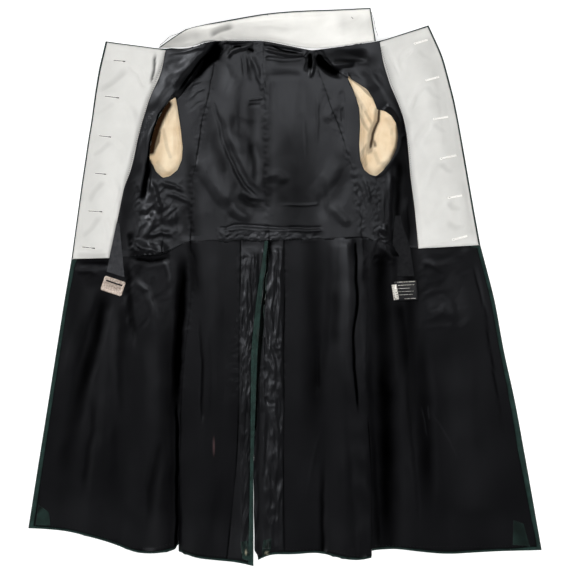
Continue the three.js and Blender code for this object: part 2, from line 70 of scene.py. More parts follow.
def smooth(t):
    """A ramp from 0 to 1 that starts and ends level."""
    t = np.clip(t, 0, 1)
    return t * t * (3 - 2 * t)


print("the mat's corners are at", mat(0, 0), "and", mat(570, 570))

# %% [markdown]
# ## Chalk notes
# Every fold, shade and gleam on this coat lies along a line that could be chalked on the mat. Python
# lists of pairs would hold such lines, but they are mostly brackets. So each line is one row of text:
#
# `column,row column,row ... : values : left right : pinch : fade`
#
# First come its points, running down or rightwards. Then come one or more values spread evenly along
# it, such as heights in mm, and its reach to the left and right in squares. The rest is only written
# where it isn't usual: the pinch (low for a sharp crest), and the share of the line over which the
# effect fades in at its start and out at its end.

# %% Read chalk notes
def words_of(text):
    return tuple(float(word) for word in text.split())


def points_in(text):
    return [words_of(point.replace(",", " ")) for point in text.split()]


def chalk(notes):
    """One tuple for each row: points, values, left, right, and the rest as it was noted."""
    table = []
    for row in notes.strip().splitlines():
        line, values, reach, *rest = row.split(":")
        table.append((points_in(line), words_of(values), *words_of(reach), *map(words_of, rest)))
    return table


print("a note reads as", chalk("10,20 10,40 : -1.5 : 3 4")[0])

# %% [markdown]
# ## Finding a line again
# A point of the cloth is moved by how far along a chalked line it lies and how far to its right. The
# nearest piece of the line decides, so lines may bend as creases do.

# %% Distance to a chalked line
def steps_of(line):
    return [math.dist(a, b) for a, b in zip(line, line[1:])]


def to_chalk(points, line):
    """Each point's share along a chalked line, and its distance to the right of it in squares."""
    px, py = squares_of(points)
    best = np.full(len(points), 1e9)
    share, aside = np.zeros(len(points)), np.zeros(len(points))
    steps, done = steps_of(line), 0.0
    for (ax, ay), (bx, by), length in zip(line, line[1:], steps):
        dx, dy = (bx - ax) / length, (by - ay) / length
        along = np.clip((px - ax) * dx + (py - ay) * dy, 0, length)
        gap = np.hypot(px - ax - along * dx, py - ay - along * dy)
        side = np.where((px - ax) * dy - (py - ay) * dx < 0, -1.0, 1.0)
        closer = gap < best
        best = np.where(closer, gap, best)
        share = np.where(closer, (done + along) / sum(steps), share)
        aside = np.where(closer, side * gap, aside)
        done += length
    return share, aside


print("a point right of a line:", to_chalk(np.array([[*mat(12, 30), 0.0]]), [(10, 20), (10, 40)]))

# %% [markdown]
# ## Unevenness
# No crease in cloth runs dead straight or keeps its height. Smooth noise, made of seeded random
# slopes on a grid, gives every line a little wander, and later the crumple too. Blender has noise of
# its own, but this one works on a whole sheet of points at once.

# %% Seeded noise
rng = np.random.default_rng(7)
shuffle = rng.permutation(512)
slopes = rng.normal(size=(512, 2))
slopes /= np.linalg.norm(slopes, axis=1)[:, None]


def noise(x, y, seed=0):
    cell_x, cell_y = np.floor(x).astype(int), np.floor(y).astype(int)
    fx, fy = x - cell_x, y - cell_y
    ux, uy = fx**3 * (fx * (6 * fx - 15) + 10), fy**3 * (fy * (6 * fy - 15) + 10)

    def corner(i, j):
        slope = slopes[shuffle[(shuffle[(cell_x + i) % 512] + cell_y + j + seed * 37) % 512]]
        return slope[:, 0] * (fx - i) + slope[:, 1] * (fy - j)

    top = corner(0, 0) * (1 - ux) + corner(1, 0) * ux
    low = corner(0, 1) * (1 - ux) + corner(1, 1) * ux
    return top * (1 - uy) + low * uy


print("lowest noise", round(float(noise(np.linspace(0, 50, 999), np.linspace(0, 31, 999)).min()), 2))

# %% [markdown]
# ## Creases and rolls
# A crease is a ridge or trough with a round or pinched crest that dies out at both ends. A roll is
# cloth that leans over sideways until it hides its own foot. Both move a fine sheet by listed
# amounts. A cloth simulation would find folds of its own, not the ones this coat has.

# %% What a line reaches, and its cross-section
wander_size = 17


def reach_of(points, line, left, right):
    """The points near a chalked line: their index, share along it and distance to its right."""
    xs, ys = [p[0] for p in line], [p[1] for p in line]
    wide = max(left, right)
    x0, y1 = mat(min(xs) - wide, min(ys) - wide)
    x1, y0 = mat(max(xs) + wide, max(ys) + wide)
    across = (points[:, 0] > x0) & (points[:, 0] < x1)
    near = np.flatnonzero(across & (points[:, 1] > y0) & (points[:, 1] < y1))
    spots = points[near] / square
    wander = [1.6 * noise(spots[:, 0] / wander_size, spots[:, 1] / wander_size, seed) for seed in (70, 80)]
    share, aside = to_chalk((spots[:, :2] + np.stack(wander, axis=1)) * square, line)
    return near, share, aside


def profile(share, aside, left, right, pinch, fade):
    """1 on the line, falling to 0 at its reach and over its faded ends."""
    t = np.clip(np.abs(aside) / np.where(aside < 0, left, right), 0, 1)
    ends = smooth(share / max(fade[0], 1e-6)) * smooth((1 - share) / max(fade[1], 1e-6))
    return (1 - t**pinch) ** 2 * ends


def along_line(values, share):
    """The noted values, spread evenly along the line."""
    if len(values) == 1:
        return values[0]
    return np.interp(share, np.linspace(0, 1, len(values)), values)


# %% One function for creases, one for rolls
def creases(points, table):
    """How far the noted creases raise the cloth, in metres; their values are heights in mm."""
    rise = np.zeros(len(points))
    for line, heights, left, right, *rest in table:
        pinch = rest[0][0] if rest else 2.0
        fade = rest[1] if len(rest) > 1 else (0.3, 0.3)
        near, share, aside = reach_of(points, line, left, right)
        along = share * sum(steps_of(line))
        uneven = 1 + 0.5 * noise(along / 32 + line[0][0], share * 0 + line[0][1] / 7, 90)
        crest = profile(share, aside, left, right, pinch, fade)
        rise[near] += along_line(heights, share) * mm * crest * uneven
    return rise


def lean(points, table):
    """Push crests sideways, to the right of their line; their values are squares, and none is pinched."""
    points = points.copy()
    for line, push, left, right, *rest in table:
        fade = rest[0] if rest else (0.15, 0.15)
        near, share, aside = reach_of(points, line, left, right)
        amount = along_line(push, share) * square * profile(share, aside, left, right, 2.0, fade)
        (ax, ay), (bx, by) = line[0], line[-1]
        length = math.dist(line[0], line[-1])
        points[near, 0] += amount * (by - ay) / length
        points[near, 1] += amount * (bx - ax) / length
    return points


# %% [markdown]
# ## Crumple
# Satin that was packed away is full of small creases. Sculpting each would take days and look no
# different from noise whose slopes meet in sharp lines, switched on only where the cloth is crumpled.

# %% Crumple and sway
def turned(points, long, short, turn):
    """Coordinates in facets of long by short squares, turned by an angle in degrees."""
    c, s = math.cos(math.radians(turn)), math.sin(math.radians(turn))
    u = (points[:, 0] * c + points[:, 1] * s) / (long * square)
    v = (-points[:, 0] * s + points[:, 1] * c) / (short * square)
    return u, v


def crumple(points, long, short, turn, height, seed=0):
    """Facets between sharp creases, height in mm."""
    u, v = turned(points, long, short, turn)
    drift = noise(u * 0.8 + 9, v * 0.4, seed + 5), noise(u * 0.9, v * 0.5 + 4, seed + 6)
    u, v = u + 0.6 * drift[0], v + 0.6 * drift[1]
    coarse, fine = np.abs(noise(u, v, seed)), np.abs(noise(u * 2.3, v * 2.3, seed + 1))
    return (0.7 - 1.6 * coarse - 0.5 * fine) * height * mm


def sway(points, long, short, turn, height, seed=0):
    """The slow unevenness of cloth that is nowhere quite flat."""
    u, v = turned(points, long, short, turn)
    return (noise(u, v, seed) + 0.5 * noise(u * 1.9 + 3, v * 2.1, seed + 1)) * height * mm


# %% Crumple inside a soft box
def inside(points, left, top, right, bottom, soft=8.0):
    """1 inside a box on the mat, falling to 0 over its soft border."""
    px, py = squares_of(points)
    gap = np.maximum(np.maximum(left - px, px - right), np.maximum(top - py, py - bottom))
    return 1 - smooth(gap / soft + 0.5)


def crumpled(points, table):
    """Each row is a box on the mat, its soft border, then long, short, turn, height and seed."""
    rise = np.zeros(len(points))
    for box, soft, *facets in table:
        share = inside(points, *box, soft)
        near = np.flatnonzero(share > 0)
        rise[near] += crumple(points[near], *facets) * share[near]
    return rise


# %% [markdown]
# ## Cloth from the panels
# Each solid's upper face is the cloth. Panels of one layer are sewn together here and rounded by a
# subdivision surface, so that folds run smoothly over the seams. They are then creased and cut apart
# again, so every panel stays a piece of its own.

# %% Sew
def sew(names, join=0.9):
    """The upper faces of some solids as one mesh; every face remembers which panel it came from."""
    mesh = bmesh.new()
    owner = mesh.faces.layers.int.new("owner")
    for index, name in enumerate(names):
        before = len(mesh.faces)
        mesh.from_mesh(nodes[name].data)
        mesh.faces.ensure_lookup_table()
        for face in mesh.faces[before:]:
            face[owner] = index
    bmesh.ops.remove_doubles(mesh, verts=mesh.verts, dist=0.02 * mm)
    for face in mesh.faces:
        face.normal_update()
    bmesh.ops.delete(mesh, geom=[f for f in mesh.faces if f.normal.z < 0.2], context="FACES")
    bmesh.ops.remove_doubles(mesh, verts=mesh.verts, dist=join * mm)
    flat, square_cornered = 0.9, 1.2
    bmesh.ops.join_triangles(mesh, faces=mesh.faces, angle_face_threshold=flat,
                             angle_shape_threshold=square_cornered, cmp_materials=False)
    return mesh


# %% Round
def rounded(sewn, levels):
    """The sewn sheet after some levels of subdivision, as a mesh."""
    mesh = bpy.data.meshes.new("sewn")
    sewn.to_mesh(mesh)
    sewn.free()
    rough = bpy.data.objects.new("sewn", mesh)
    bpy.context.scene.collection.objects.link(rough)
    surface = rough.modifiers.new("round", "SUBSURF")
    surface.levels = surface.render_levels = levels
    surface.boundary_smooth = "PRESERVE_CORNERS"
    done = bpy.data.meshes.new_from_object(rough.evaluated_get(bpy.context.evaluated_depsgraph_get()))
    bpy.data.objects.remove(rough)
    bpy.data.meshes.remove(mesh)
    return done


# %% Read a mesh, and measure to its seams
def points_of(mesh):
    points = np.empty(len(mesh.vertices) * 3)
    mesh.vertices.foreach_get("co", points)
    return points.reshape(-1, 3)


def numbers(collection, kind, count, dtype=int):
    values = np.empty(count, dtype=dtype)
    collection.foreach_get(kind, values)
    return values


def tree_of(points, chosen):
    tree = KDTree(len(chosen))
    for i in chosen:
        tree.insert(points[i], int(i))
    tree.balance()
    return tree


def gap_to(points, chosen, limit=30 * mm):
    """Distance from every point to the nearest chosen one."""
    if not len(chosen):
        return np.full(len(points), limit)
    tree = tree_of(points, chosen)
    return np.array([min(tree.find(p)[2], limit) for p in points])


# %% [markdown]
# ## Laying a piece down
# Each sheet's flat cut is measured from the cloth itself, by its area and its longest way, and printed.
# What it rests on is worked out from a list of the layers, given once.

# %% What each sheet rests on
below = {
    "lining_front": "forepart", "lining_side": "side_body", "lining_back": "back",
    "lining_skirt_front": "skirt_front", "lining_skirt_back": "skirt_back", "vent_facing": "skirt_back",
    "lapel_facing": "forepart", "sleeve_lining": "top_sleeve", "waist_strap": "lining_skirt_front",
    "hem_corner_front": "lining_skirt_front", "hem_corner_vent": "vent_facing",
}


def lies_on(name):
    """The pieces under a sheet; `below` holds for the left and the right side alike."""
    stem, _, hand = name.rpartition("_")
    if stem in below:
        return [f"cloth_{below[stem]}_{hand}"]
    single = {"vent_turned_edge": "cloth_skirt_back_left", "collar_facing": "cloth_under_collar"}
    return [single.get(name, "floor")]


print("the waist strap rests on", lies_on("waist_strap_left")[0])


# %% Print a sheet's flat size
def declare_sheet(piece, rests_on):
    mesh = piece.data
    area = float(numbers(mesh.polygons, "area", len(mesh.polygons), float).sum())
    points = points_of(mesh)[:, :2]
    ways = np.linalg.svd(points - points.mean(0), full_matrices=False)[2]
    long, wide = sorted(np.ptp(points @ ways.T, axis=0), reverse=True)
    wide = max(wide, area / long * 1.001)
    print("flat", f"{piece.name} {1000 * wide:.0f} x {1000 * long:.0f} mm")


# %% [markdown]
# ## Edges
# Thin cloth shows its edge as a narrow turned rim, heavy cloth as a wall. The rim is folded down
# from the free edges. Where it meets a seam it stays crisp, so the shading doesn't smear over it.

# %% Turn a rim
def turn_rim(mesh, drop, crisp):
    """Fold the free edges of a thin sheet down by drop mm, over a crisp or a rounded edge."""
    work = bmesh.new()
    work.from_mesh(mesh)
    edges = [e for e in work.edges if e.is_boundary]
    made = bmesh.ops.extrude_edge_only(work, edges=edges)["geom"]
    for vert in made:
        if isinstance(vert, bmesh.types.BMVert):
            vert.co.z -= drop * mm
    for edge in edges:
        edge.smooth = not crisp
    work.to_mesh(mesh)
    work.free()


# %% Lay a piece
def lay_piece(name, mesh, finish, stands_for=None, wall=0.0, sheet=True):
    """One piece of the coat, riding on its body and standing for a solid of the model."""
    piece = bpy.data.objects.new(name, mesh)
    bpy.context.scene.collection.objects.link(piece)
    mesh.shade_smooth()
    mesh.materials.clear()
    mesh.materials.append(finish)
    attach(piece, "root")
    if stands_for:
        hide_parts(stands_for)
    if sheet:
        declare_sheet(piece, lies_on(stands_for))
    if wall:
        thick = piece.modifiers.new("thickness", "SOLIDIFY")
        thick.thickness, thick.offset, thick.use_rim = wall * mm, -1.0, True


# %% [markdown]
# ## Seams
# A seam in a lining is a soft groove with puckers beside it. Where a fold lies over it, it is hardly
# seen, so its depth comes and goes along its way. Grooves cut by hand in a model would be too even.

# %% Where seams hide
quiet_seams = [
    ((258, 60, 272, 236), 0.97), ((150, 178, 168, 240), 0.75), ((368, 176, 382, 240), 0.75),
    ((356, 250, 372, 420), 0.85), ((180, 250, 194, 400), 0.6), ((330, 110, 366, 236), 0.35),
]


def clear_seam(points):
    """How clear a seam is here, from hidden 0 to plain 1; each box above hides its share."""
    clear = np.clip(0.7 + 1.1 * noise(points[:, 0] / (45 * square), points[:, 1] / (60 * square), 4), 0.35, 1)
    for box, quiet in quiet_seams:
        clear = clear * (1 - quiet * inside(points, *box, 16))
    return clear


print(len(quiet_seams), "places hide a seam")


# %% Sink the seams
def sink_seams(points, shade, seam_gap, rim_gap, groove):
    """Pucker the cloth beside its seams, sink them by groove mm, and paint shade along them and along the
    rim.
    """
    clear = clear_seam(points)
    pucker = noise(points[:, 0] / (9 * mm), points[:, 1] / (9 * mm), 3) * (1 - smooth(seam_gap / (14 * mm)))
    points[:, 2] += pucker * 1.1 * mm - groove * clear * mm * (1 - smooth(seam_gap / (3.2 * mm)))
    # Painted shade along the seams, where they are clear, and along the rim.
    on_seam, on_rim = (1 - smooth(gap / (2.4 * mm)) for gap in (seam_gap, rim_gap))
    dark = np.maximum(clear * on_seam, 0.6 * on_rim)
    return np.where(dark > 0, np.maximum(shade, dark), shade)


# %% Find the seams and the rim of a sewn sheet
def seam_points(quads, owner, count):
    """The points where two panels meet."""
    lowest, highest = np.full(count, 99), np.full(count, -1)
    for corner in range(4):
        np.minimum.at(lowest, quads[:, corner], owner)
        np.maximum.at(highest, quads[:, corner], owner)
    return np.flatnonzero(lowest < highest)


def rim_points(quads):
    """The points on free edges, which only one face uses."""
    edges = np.sort(np.concatenate([quads[:, [c, (c + 1) % 4]] for c in range(4)]), axis=1)
    pairs, faces_on = np.unique(edges, axis=0, return_counts=True)
    return np.unique(pairs[faces_on == 1])


# %% [markdown]
# ## From panels to finished cloth
# One function does it all: sew, round, move every point where it belongs, and part the sheet again.
# What moves the points is handed in, because a sleeve, a lining and a strap settle differently. It
# gives back a shade for each point too, which the finishes read as an attribute named `shade`.

# %% Lay cloth
def part_of(name, points, shade, quads):
    """The panel that some faces of a sheet make, with its own points and shade."""
    used, again = np.unique(quads, return_inverse=True)
    part = bpy.data.meshes.new(name)
    part.from_pydata(points[used].tolist(), [], again.reshape(-1, 4).tolist())
    painted_on = part.attributes.new("shade", "FLOAT", "POINT")
    painted_on.data.foreach_set("value", shade[used].astype(np.float32))
    return part


def lay_cloth(names, levels, finishes, settle, wall=0.0, rim=1.0, groove=0.0):
    """Sheets with a turned rim, or a wall in mm. Gives the points of the whole sheet."""
    mesh = rounded(sew(names), levels)
    points = points_of(mesh)
    owner = numbers(mesh.attributes["owner"].data, "value", len(mesh.polygons))
    quads = numbers(mesh.loops, "vertex_index", len(mesh.loops)).reshape(-1, 4)
    free = rim_points(quads)
    if groove:
        gaps = gap_to(points, seam_points(quads, owner, len(points))), gap_to(points, free)
    points, shade = settle(points, free)
    if groove:
        shade = sink_seams(points, shade, *gaps, groove)
    for index, name in enumerate(names):
        part = part_of(name, points, shade, quads[owner == index])
        if not wall:
            turn_rim(part, rim, groove > 0)
        finish = finishes[index] if isinstance(finishes, tuple) else finishes
        lay_piece("cloth_" + name, part, finish, name, wall)
    print(len(quads), "faces in", ", ".join(names))
    bpy.data.meshes.remove(mesh)
    return points


# %% [markdown]
# ## Finishes
# Black satin is a dark smooth weave with a soft gleam, the outer cloth a matt milled wool with short
# nap, the facings the same wool in off-white, the sleeve lining a cream cotton twill. Each is a
# small node tree: a colour that drifts, and a weave or nap too fine to model as bump. All of it is
# made in Blender from coordinates on the object, so nothing has to be unwrapped.

# %% Shader, nodes and drifting colour
def finish(name, colour, roughness, **more):
    material = bpy.data.materials.new(name)
    material.use_nodes = True
    shader = material.node_tree.nodes["Principled BSDF"]
    shader.inputs["Base Color"].default_value = (*colour, 1)
    shader.inputs["Roughness"].default_value = roughness
    for label, value in more.items():
        shader.inputs[label.replace("_", " ")].default_value = value
    material.diffuse_color = (*colour, 1)
    return material, material.node_tree, shader


def node(tree, kind, **values):
    made = tree.nodes.new(kind)
    for key, value in values.items():
        if key in made.inputs:
            made.inputs[key].default_value = value
        else:
            setattr(made, key, value)
    return made


def drifting(tree, shader, light, dark, scale, low=0.35, high=0.65):
    """Base colour that drifts between two shades."""
    place = node(tree, "ShaderNodeTexCoord")
    drift = node(tree, "ShaderNodeTexNoise", Scale=scale, Detail=4.0)
    ramp = node(tree, "ShaderNodeValToRGB")
    for stop, position, colour in zip(ramp.color_ramp.elements, (low, high), (dark, light)):
        stop.position, stop.color = position, (*colour, 1)
    tree.links.new(place.outputs["Object"], drift.inputs["Vector"])
    tree.links.new(drift.outputs["Fac"], ramp.inputs["Fac"])
    tree.links.new(ramp.outputs["Color"], shader.inputs["Base Color"])
    return place, ramp


# %% Weave or nap
def grain(tree, shader, place, kind, scale, strength, distance, output="Fac", **more):
    """A texture at thread scale, as bump."""
    texture = node(tree, kind, Scale=scale, **more)
    relief = node(tree, "ShaderNodeBump", Strength=strength, Distance=distance)
    tree.links.new(place.outputs["Object"], texture.inputs["Vector"])
    tree.links.new(texture.outputs[output], relief.inputs["Height"])
    tree.links.new(relief.outputs["Normal"], shader.inputs["Normal"])


# %% [markdown]
# ## Shade and stains
# Deep folds hold no light. Every sheet here keeps a little clear of the next, so the last of the dark
# is painted on: the shade of each point darkens the colour and takes away the gleam. A negative
# shade is a painted highlight: it raises the gleam on chosen ridges and patches. Stains are soft ovals
# at a place on the mat.

# %% Painted shade
def deepen(tree, shader, colour_from, depth):
    """Let the painted shade pull the colour towards its depth and dull the gleam; a negative shade is a
    painted highlight that raises the gleam.
    """
    shade = node(tree, "ShaderNodeAttribute", attribute_name="shade")
    keep = node(tree, "ShaderNodeMath", operation="SUBTRACT")
    keep.inputs[0].default_value = 1.0
    tree.links.new(shade.outputs["Fac"], keep.inputs[1])
    tint = node(tree, "ShaderNodeMix", data_type="RGBA")
    tint.inputs["B"].default_value = (*depth, 1)
    tree.links.new(shade.outputs["Fac"], tint.inputs["Factor"])
    tree.links.new(colour_from, tint.inputs["A"])
    tree.links.new(tint.outputs["Result"], shader.inputs["Base Color"])
    gleam = node(tree, "ShaderNodeMath", operation="MULTIPLY")
    gleam.inputs[1].default_value = shader.inputs["Specular IOR Level"].default_value
    tree.links.new(keep.outputs[0], gleam.inputs[0])
    tree.links.new(gleam.outputs[0], shader.inputs["Specular IOR Level"])


# %% Stains
def stain(tree, shader, place, column, row, half_wide, half_long, colour, strength):
    """A small oval on the mat, mixed into the colour that is there."""
    spot = node(tree, "ShaderNodeMapping", vector_type="TEXTURE")
    spot.inputs["Location"].default_value = (*mat(column, row), 0)
    spot.inputs["Scale"].default_value = (half_wide * square, half_long * square, 1)
    oval = node(tree, "ShaderNodeTexGradient", gradient_type="SPHERICAL")
    amount = node(tree, "ShaderNodeMath", operation="MULTIPLY")
    amount.inputs[1].default_value = strength
    stained = node(tree, "ShaderNodeMix", data_type="RGBA")
    stained.inputs["B"].default_value = (*colour, 1)
    tree.links.new(place.outputs["Object"], spot.inputs["Vector"])
    tree.links.new(spot.outputs["Vector"], oval.inputs["Vector"])
    tree.links.new(oval.outputs["Fac"], amount.inputs[0])
    tree.links.new(amount.outputs[0], stained.inputs["Factor"])
    tree.links.new(shader.inputs["Base Color"].links[0].from_socket, stained.inputs["A"])
    tree.links.new(stained.outputs["Result"], shader.inputs["Base Color"])


# %% A cloth's whole finish
def cloth(name, colour, roughness, shades, drift, weave, stains=(), depth=(0, 0, 0), **more):
    """A cloth's finish: drifting colour, painted shade, stains, and its weave or nap."""
    material, tree, shader = finish(name, colour, roughness, **more)
    place, ramp = drifting(tree, shader, *shades, drift)
    deepen(tree, shader, ramp.outputs["Color"], depth)
    for spot in stains:
        stain(tree, shader, place, *spot)
    kind, scale, strength, distance, settings = weave
    grain(tree, shader, place, kind, scale, strength, distance, **settings)
    return material


# %% [markdown]
# ## Satin, and a copy of it in painted shade
# The body's lining is a satin that mirrors light softly. The skirts get a copy of it with half the
# gleam, as painted shade that keeps them darker than the body. Both are woven so finely that only a
# faint ribbing shows. A small rusty mark sits on the left skirt.

# %% Black linings
def black_lining(name, roughness, gleam):
    shades = (0.0036, 0.0036, 0.0042), (0.0020, 0.0020, 0.0024)
    weave = ("ShaderNodeTexWave", 520, 0.05, 0.0003, {"Distortion": 0.6})
    rust = (214, 446, 1.6, 12, (0.09, 0.045, 0.045), 0.55)
    return cloth(name, (0.003, 0.003, 0.0034), roughness, shades, 9, weave, [rust],
                 Specular_IOR_Level=gleam, Specular_Tint=(0.9, 0.93, 1.0, 1.0))


satin = black_lining("black satin", 0.43, 0.5)
# The skirts' copy of the satin has half its gleam: painted shade that keeps them darker than the body.
shaded_satin = black_lining("black satin shaded for the skirts", 0.44, 0.24)
print("linings:", satin.name, "and", shaded_satin.name)

# %% [markdown]
# ## Wools, cotton and tape
# Milled wool scatters light from its nap, so it gets a little sheen and hardly any gleam. Two worn
# spots at the hem of the vent show the pale canvas. The painted shade in the cotton's folds goes warm
# brown instead of black.

# %% Green and off-white wool
nap = ("ShaderNodeTexNoise", 1400, 0.35, 0.0006, {"Detail": 3.0})
canvas = (0.3, 0.28, 0.2)
worn_spots = [(246, 552, 1.6, 4, canvas, 0.8), (267, 553, 3, 3, canvas, 0.7)]
greens = (0.013, 0.033, 0.028), (0.007, 0.018, 0.015)
wool = cloth("dark green wool", (0.012, 0.035, 0.028), 0.9, greens, 60, nap, worn_spots,
             Sheen_Weight=0.25, Sheen_Roughness=0.5, Specular_IOR_Level=0.2)


def pale_wool(name, colour):
    shades = colour, tuple(0.94 * c for c in colour)
    short_nap = ("ShaderNodeTexNoise", 900, 0.3, 0.0006, {"Detail": 4.0})
    return cloth(name, colour, 0.92, shades, 22, short_nap, Sheen_Weight=0.1, Specular_IOR_Level=0.15)


white_wool = pale_wool("off-white facing wool", (0.66, 0.655, 0.63))
# The collar gets a brighter copy of the facing wool: painted light, because its face tilts away from the
# lamps.
lit_collar_wool = pale_wool("off-white wool brightened for the collar", (0.86, 0.85, 0.81))
print("wools:", wool.name, "with", len(worn_spots), "worn spots,", white_wool.name, "and", lit_collar_wool.name)

# %% Cotton and tape
def twill(scale, strength, distortion):
    settings = {"Distortion": distortion, "bands_direction": "DIAGONAL"}
    return "ShaderNodeTexWave", scale, strength, 0.0004, settings


creams = (0.80, 0.66, 0.47), (0.70, 0.53, 0.34)
# Its painted shade turns warm brown, not black.
cotton = cloth("cream cotton", (0.80, 0.66, 0.45), 0.85, creams, 25, twill(700, 0.12, 0.4),
               depth=(0.02, 0.009, 0.004), Specular_IOR_Level=0.2)
greys = (0.036, 0.037, 0.041), (0.022, 0.023, 0.026)
tape_twill = cloth("black twill tape", (0.03, 0.031, 0.034), 0.7, greys, 120, twill(420, 0.3, 0.2),
                   Specular_IOR_Level=0.3)
print("twills:", cotton.name, "and", tape_twill.name)

# %% [markdown]
# ## Thread and metals
# Thread is only a drifting colour at this size. The buckle's plating is worn to several tones, the
# clasp is lacquered black with bright worn edges, and the buttons are pebbled.

# %% Thread
def plain(name, colour, roughness, light, dark, scale, low=0.35, high=0.65, **more):
    material, tree, shader = finish(name, colour, roughness, **more)
    drifting(tree, shader, light, dark, scale, low, high)
    return material


white_thread = plain("white thread", (0.82, 0.81, 0.77), 0.7,
                     (0.95, 0.94, 0.91), (0.80, 0.78, 0.74), 400, Specular_IOR_Level=0.3)
black_thread = plain("black thread", (0.012, 0.012, 0.013), 0.6,
                     (0.016, 0.016, 0.018), (0.008, 0.008, 0.009), 400, Specular_IOR_Level=0.4)
print("threads:", white_thread.name, "and", black_thread.name)

# %% Metals
worn_plate = plain("worn plated metal", (0.8, 0.72, 0.66), 0.45,
                   (0.74, 0.64, 0.56), (0.34, 0.25, 0.20), 260, 0.3, 0.7, Metallic=0.35)
black_metal = plain("black lacquered metal", (0.012, 0.012, 0.013), 0.35,
                    (0.014, 0.014, 0.015), (0.006, 0.006, 0.007), 200, Specular_IOR_Level=0.4)
bright_metal = plain("bright worn metal", (0.6, 0.58, 0.54), 0.35,
                     (0.86, 0.83, 0.76), (0.22, 0.20, 0.17), 300, 0.36, 0.5, Metallic=0.5)
button_metal, tree, shader = finish("pebbled button metal", (0.42, 0.42, 0.42), 0.4, Metallic=0.9)
place, ramp = drifting(tree, shader, (0.5, 0.5, 0.5), (0.3, 0.3, 0.3), 300)
grain(tree, shader, place, "ShaderNodeTexVoronoi", 900, 0.8, 0.0006, "Distance")
print(len(bpy.data.materials), "finishes")

# %% [markdown]
# ## Camera and floor
# The coat is seen from straight above. A long lens keeps the raised collar from growing. The floor
# is plain and pale, and glows a little so that it stays even under one main light.

# %% Camera
lens, sensor, view_width = 200.0, 36.0, 570 * square
camera_data = bpy.data.cameras.new("camera")
camera_data.lens, camera_data.sensor_width = lens, sensor
camera_data.clip_end = 60
camera = bpy.data.objects.new("camera", camera_data)
camera.location = (*mat(285, 285), view_width * lens / sensor)
bpy.context.scene.collection.objects.link(camera)
bpy.context.scene.camera = camera
print("the camera hangs", round(camera.location.z, 2), "m up")

# %% Floor
half, under = 9.0, -0.5 * mm
floor_mesh = bpy.data.meshes.new("floor")
corners = [(x * half, y * half, under) for x, y in ((-1, -1), (1, -1), (1, 1), (-1, 1))]
floor_mesh.from_pydata(corners, [], [(0, 1, 2, 3)])
floor = bpy.data.objects.new("floor", floor_mesh)
bpy.context.scene.collection.objects.link(floor)
pale, tree, shader = finish("pale floor", (0.6, 0.6, 0.6), 0.9, Specular_IOR_Level=0.1,
                            Emission_Strength=0.62, Emission_Color=(1, 1, 1, 1))
floor_mesh.materials.append(pale)
print("the floor is", 2 * half, "m wide")

# %% [markdown]
# ## Light
# One large soft window of light from the upper left draws the folds, with two dim fills for the
# shadows. A faint one straight above gives the satin its sheen. Only the window and the sheen are
# mirrored in the cloth, because four gleams on one fold would look like a shop window.

# %% Soft lights
def soft_light(name, place_at, aim, width, height, watts, mirrored=True):
    data = bpy.data.lights.new(name, "AREA")
    data.shape, data.size, data.size_y, data.energy = "RECTANGLE", width, height, watts
    lamp = bpy.data.objects.new(name, data)
    lamp.location = place_at
    lamp.rotation_mode = "QUATERNION"
    lamp.rotation_quaternion = (Vector(aim) - Vector(place_at)).to_track_quat("-Z", "Y")
    lamp.visible_camera = False
    lamp.visible_glossy = mirrored
    bpy.context.scene.collection.objects.link(lamp)


soft_light("key", (-4.6, 3.2, 3.4), (0, 0.1, 0), 2.0, 2.0, 225)
soft_light("fill", (2.8, -0.8, 4.2), (0, 0, 0), 2.6, 2.6, 120, mirrored=False)
soft_light("front", (0.2, -3.6, 3.4), (0, 0.3, 0), 2.4, 1.6, 105, mirrored=False)
soft_light("sheen", (0.0, 0.9, 2.3), (0, 0.35, 0), 1.8, 0.8, 17)
print(len(bpy.data.lights), "lights")

# %% [markdown]
# ## The room
# The room is dim overhead, so the satin stays black from above. Its far walls are pale where they
# meet the floor, so a low view has a pale background too.

# %% World
world = bpy.data.worlds.new("studio")
world.use_nodes = True
room, walls = world.node_tree, world.node_tree.nodes["Background"]
kinds = ("ShaderNodeTexCoord", "ShaderNodeSeparateXYZ", "ShaderNodeMapRange")
toward, parts, fade = (node(room, kind) for kind in kinds)
for side, value in (("From Min", 0.12), ("From Max", 0.2), ("To Min", 0.85), ("To Max", 0.04)):
    fade.inputs[side].default_value = value
room.links.new(toward.outputs["Generated"], parts.inputs[0])
room.links.new(parts.outputs["Z"], fade.inputs["Value"])
room.links.new(fade.outputs["Result"], walls.inputs["Strength"])
walls.inputs["Color"].default_value = (1, 1, 1, 1)
bpy.context.scene.world = world
bpy.context.scene.view_settings.view_transform = "Standard"
print("the walls fade from", fade.inputs["To Min"].default_value, "to", fade.inputs["To Max"].default_value)

# %% [markdown]
# ## Where the body leans, and its armholes
# The shoulders roll inwards over the armholes, so the cloth there is first pushed sideways. That
# bends the armholes, so each is then eased back to the outline it has on the real coat: an opening
# seen from its middle, as a radius for every bearing.

# %% Leaning lines and armhole outlines
body_lean = chalk("""
    207,40 185,68 160,99 146,150 137,196 : 9 9 7 6 5 5 4 : 26 17
    398,158 400,185 401,215 402,256 : -7 -8 -8 -7 : 20 9 : 0.25 0.1
""")
armholes = {
    "left": ((167, 142), points_in("""
        176,97 178,110 181,130 183,148 182,160 178,170 170,176.5 163,178 156,172 150,160 150.5,146 154.5,130 \
        160,115 168,103
    """)),
    "right": ((374, 135), points_in("""
        346,76 352,80 360,85 367,90 373,99 377,110 384,111 391,116 396,124 398,136 396,150 390,162 382,172 \
        376,176.5 370,175 364,170 360,160 359,145 360,125 359,108 354,92
    """)),
}
armhole_was = {}
print("armhole points:", [len(line) for _, line in armholes.values()])


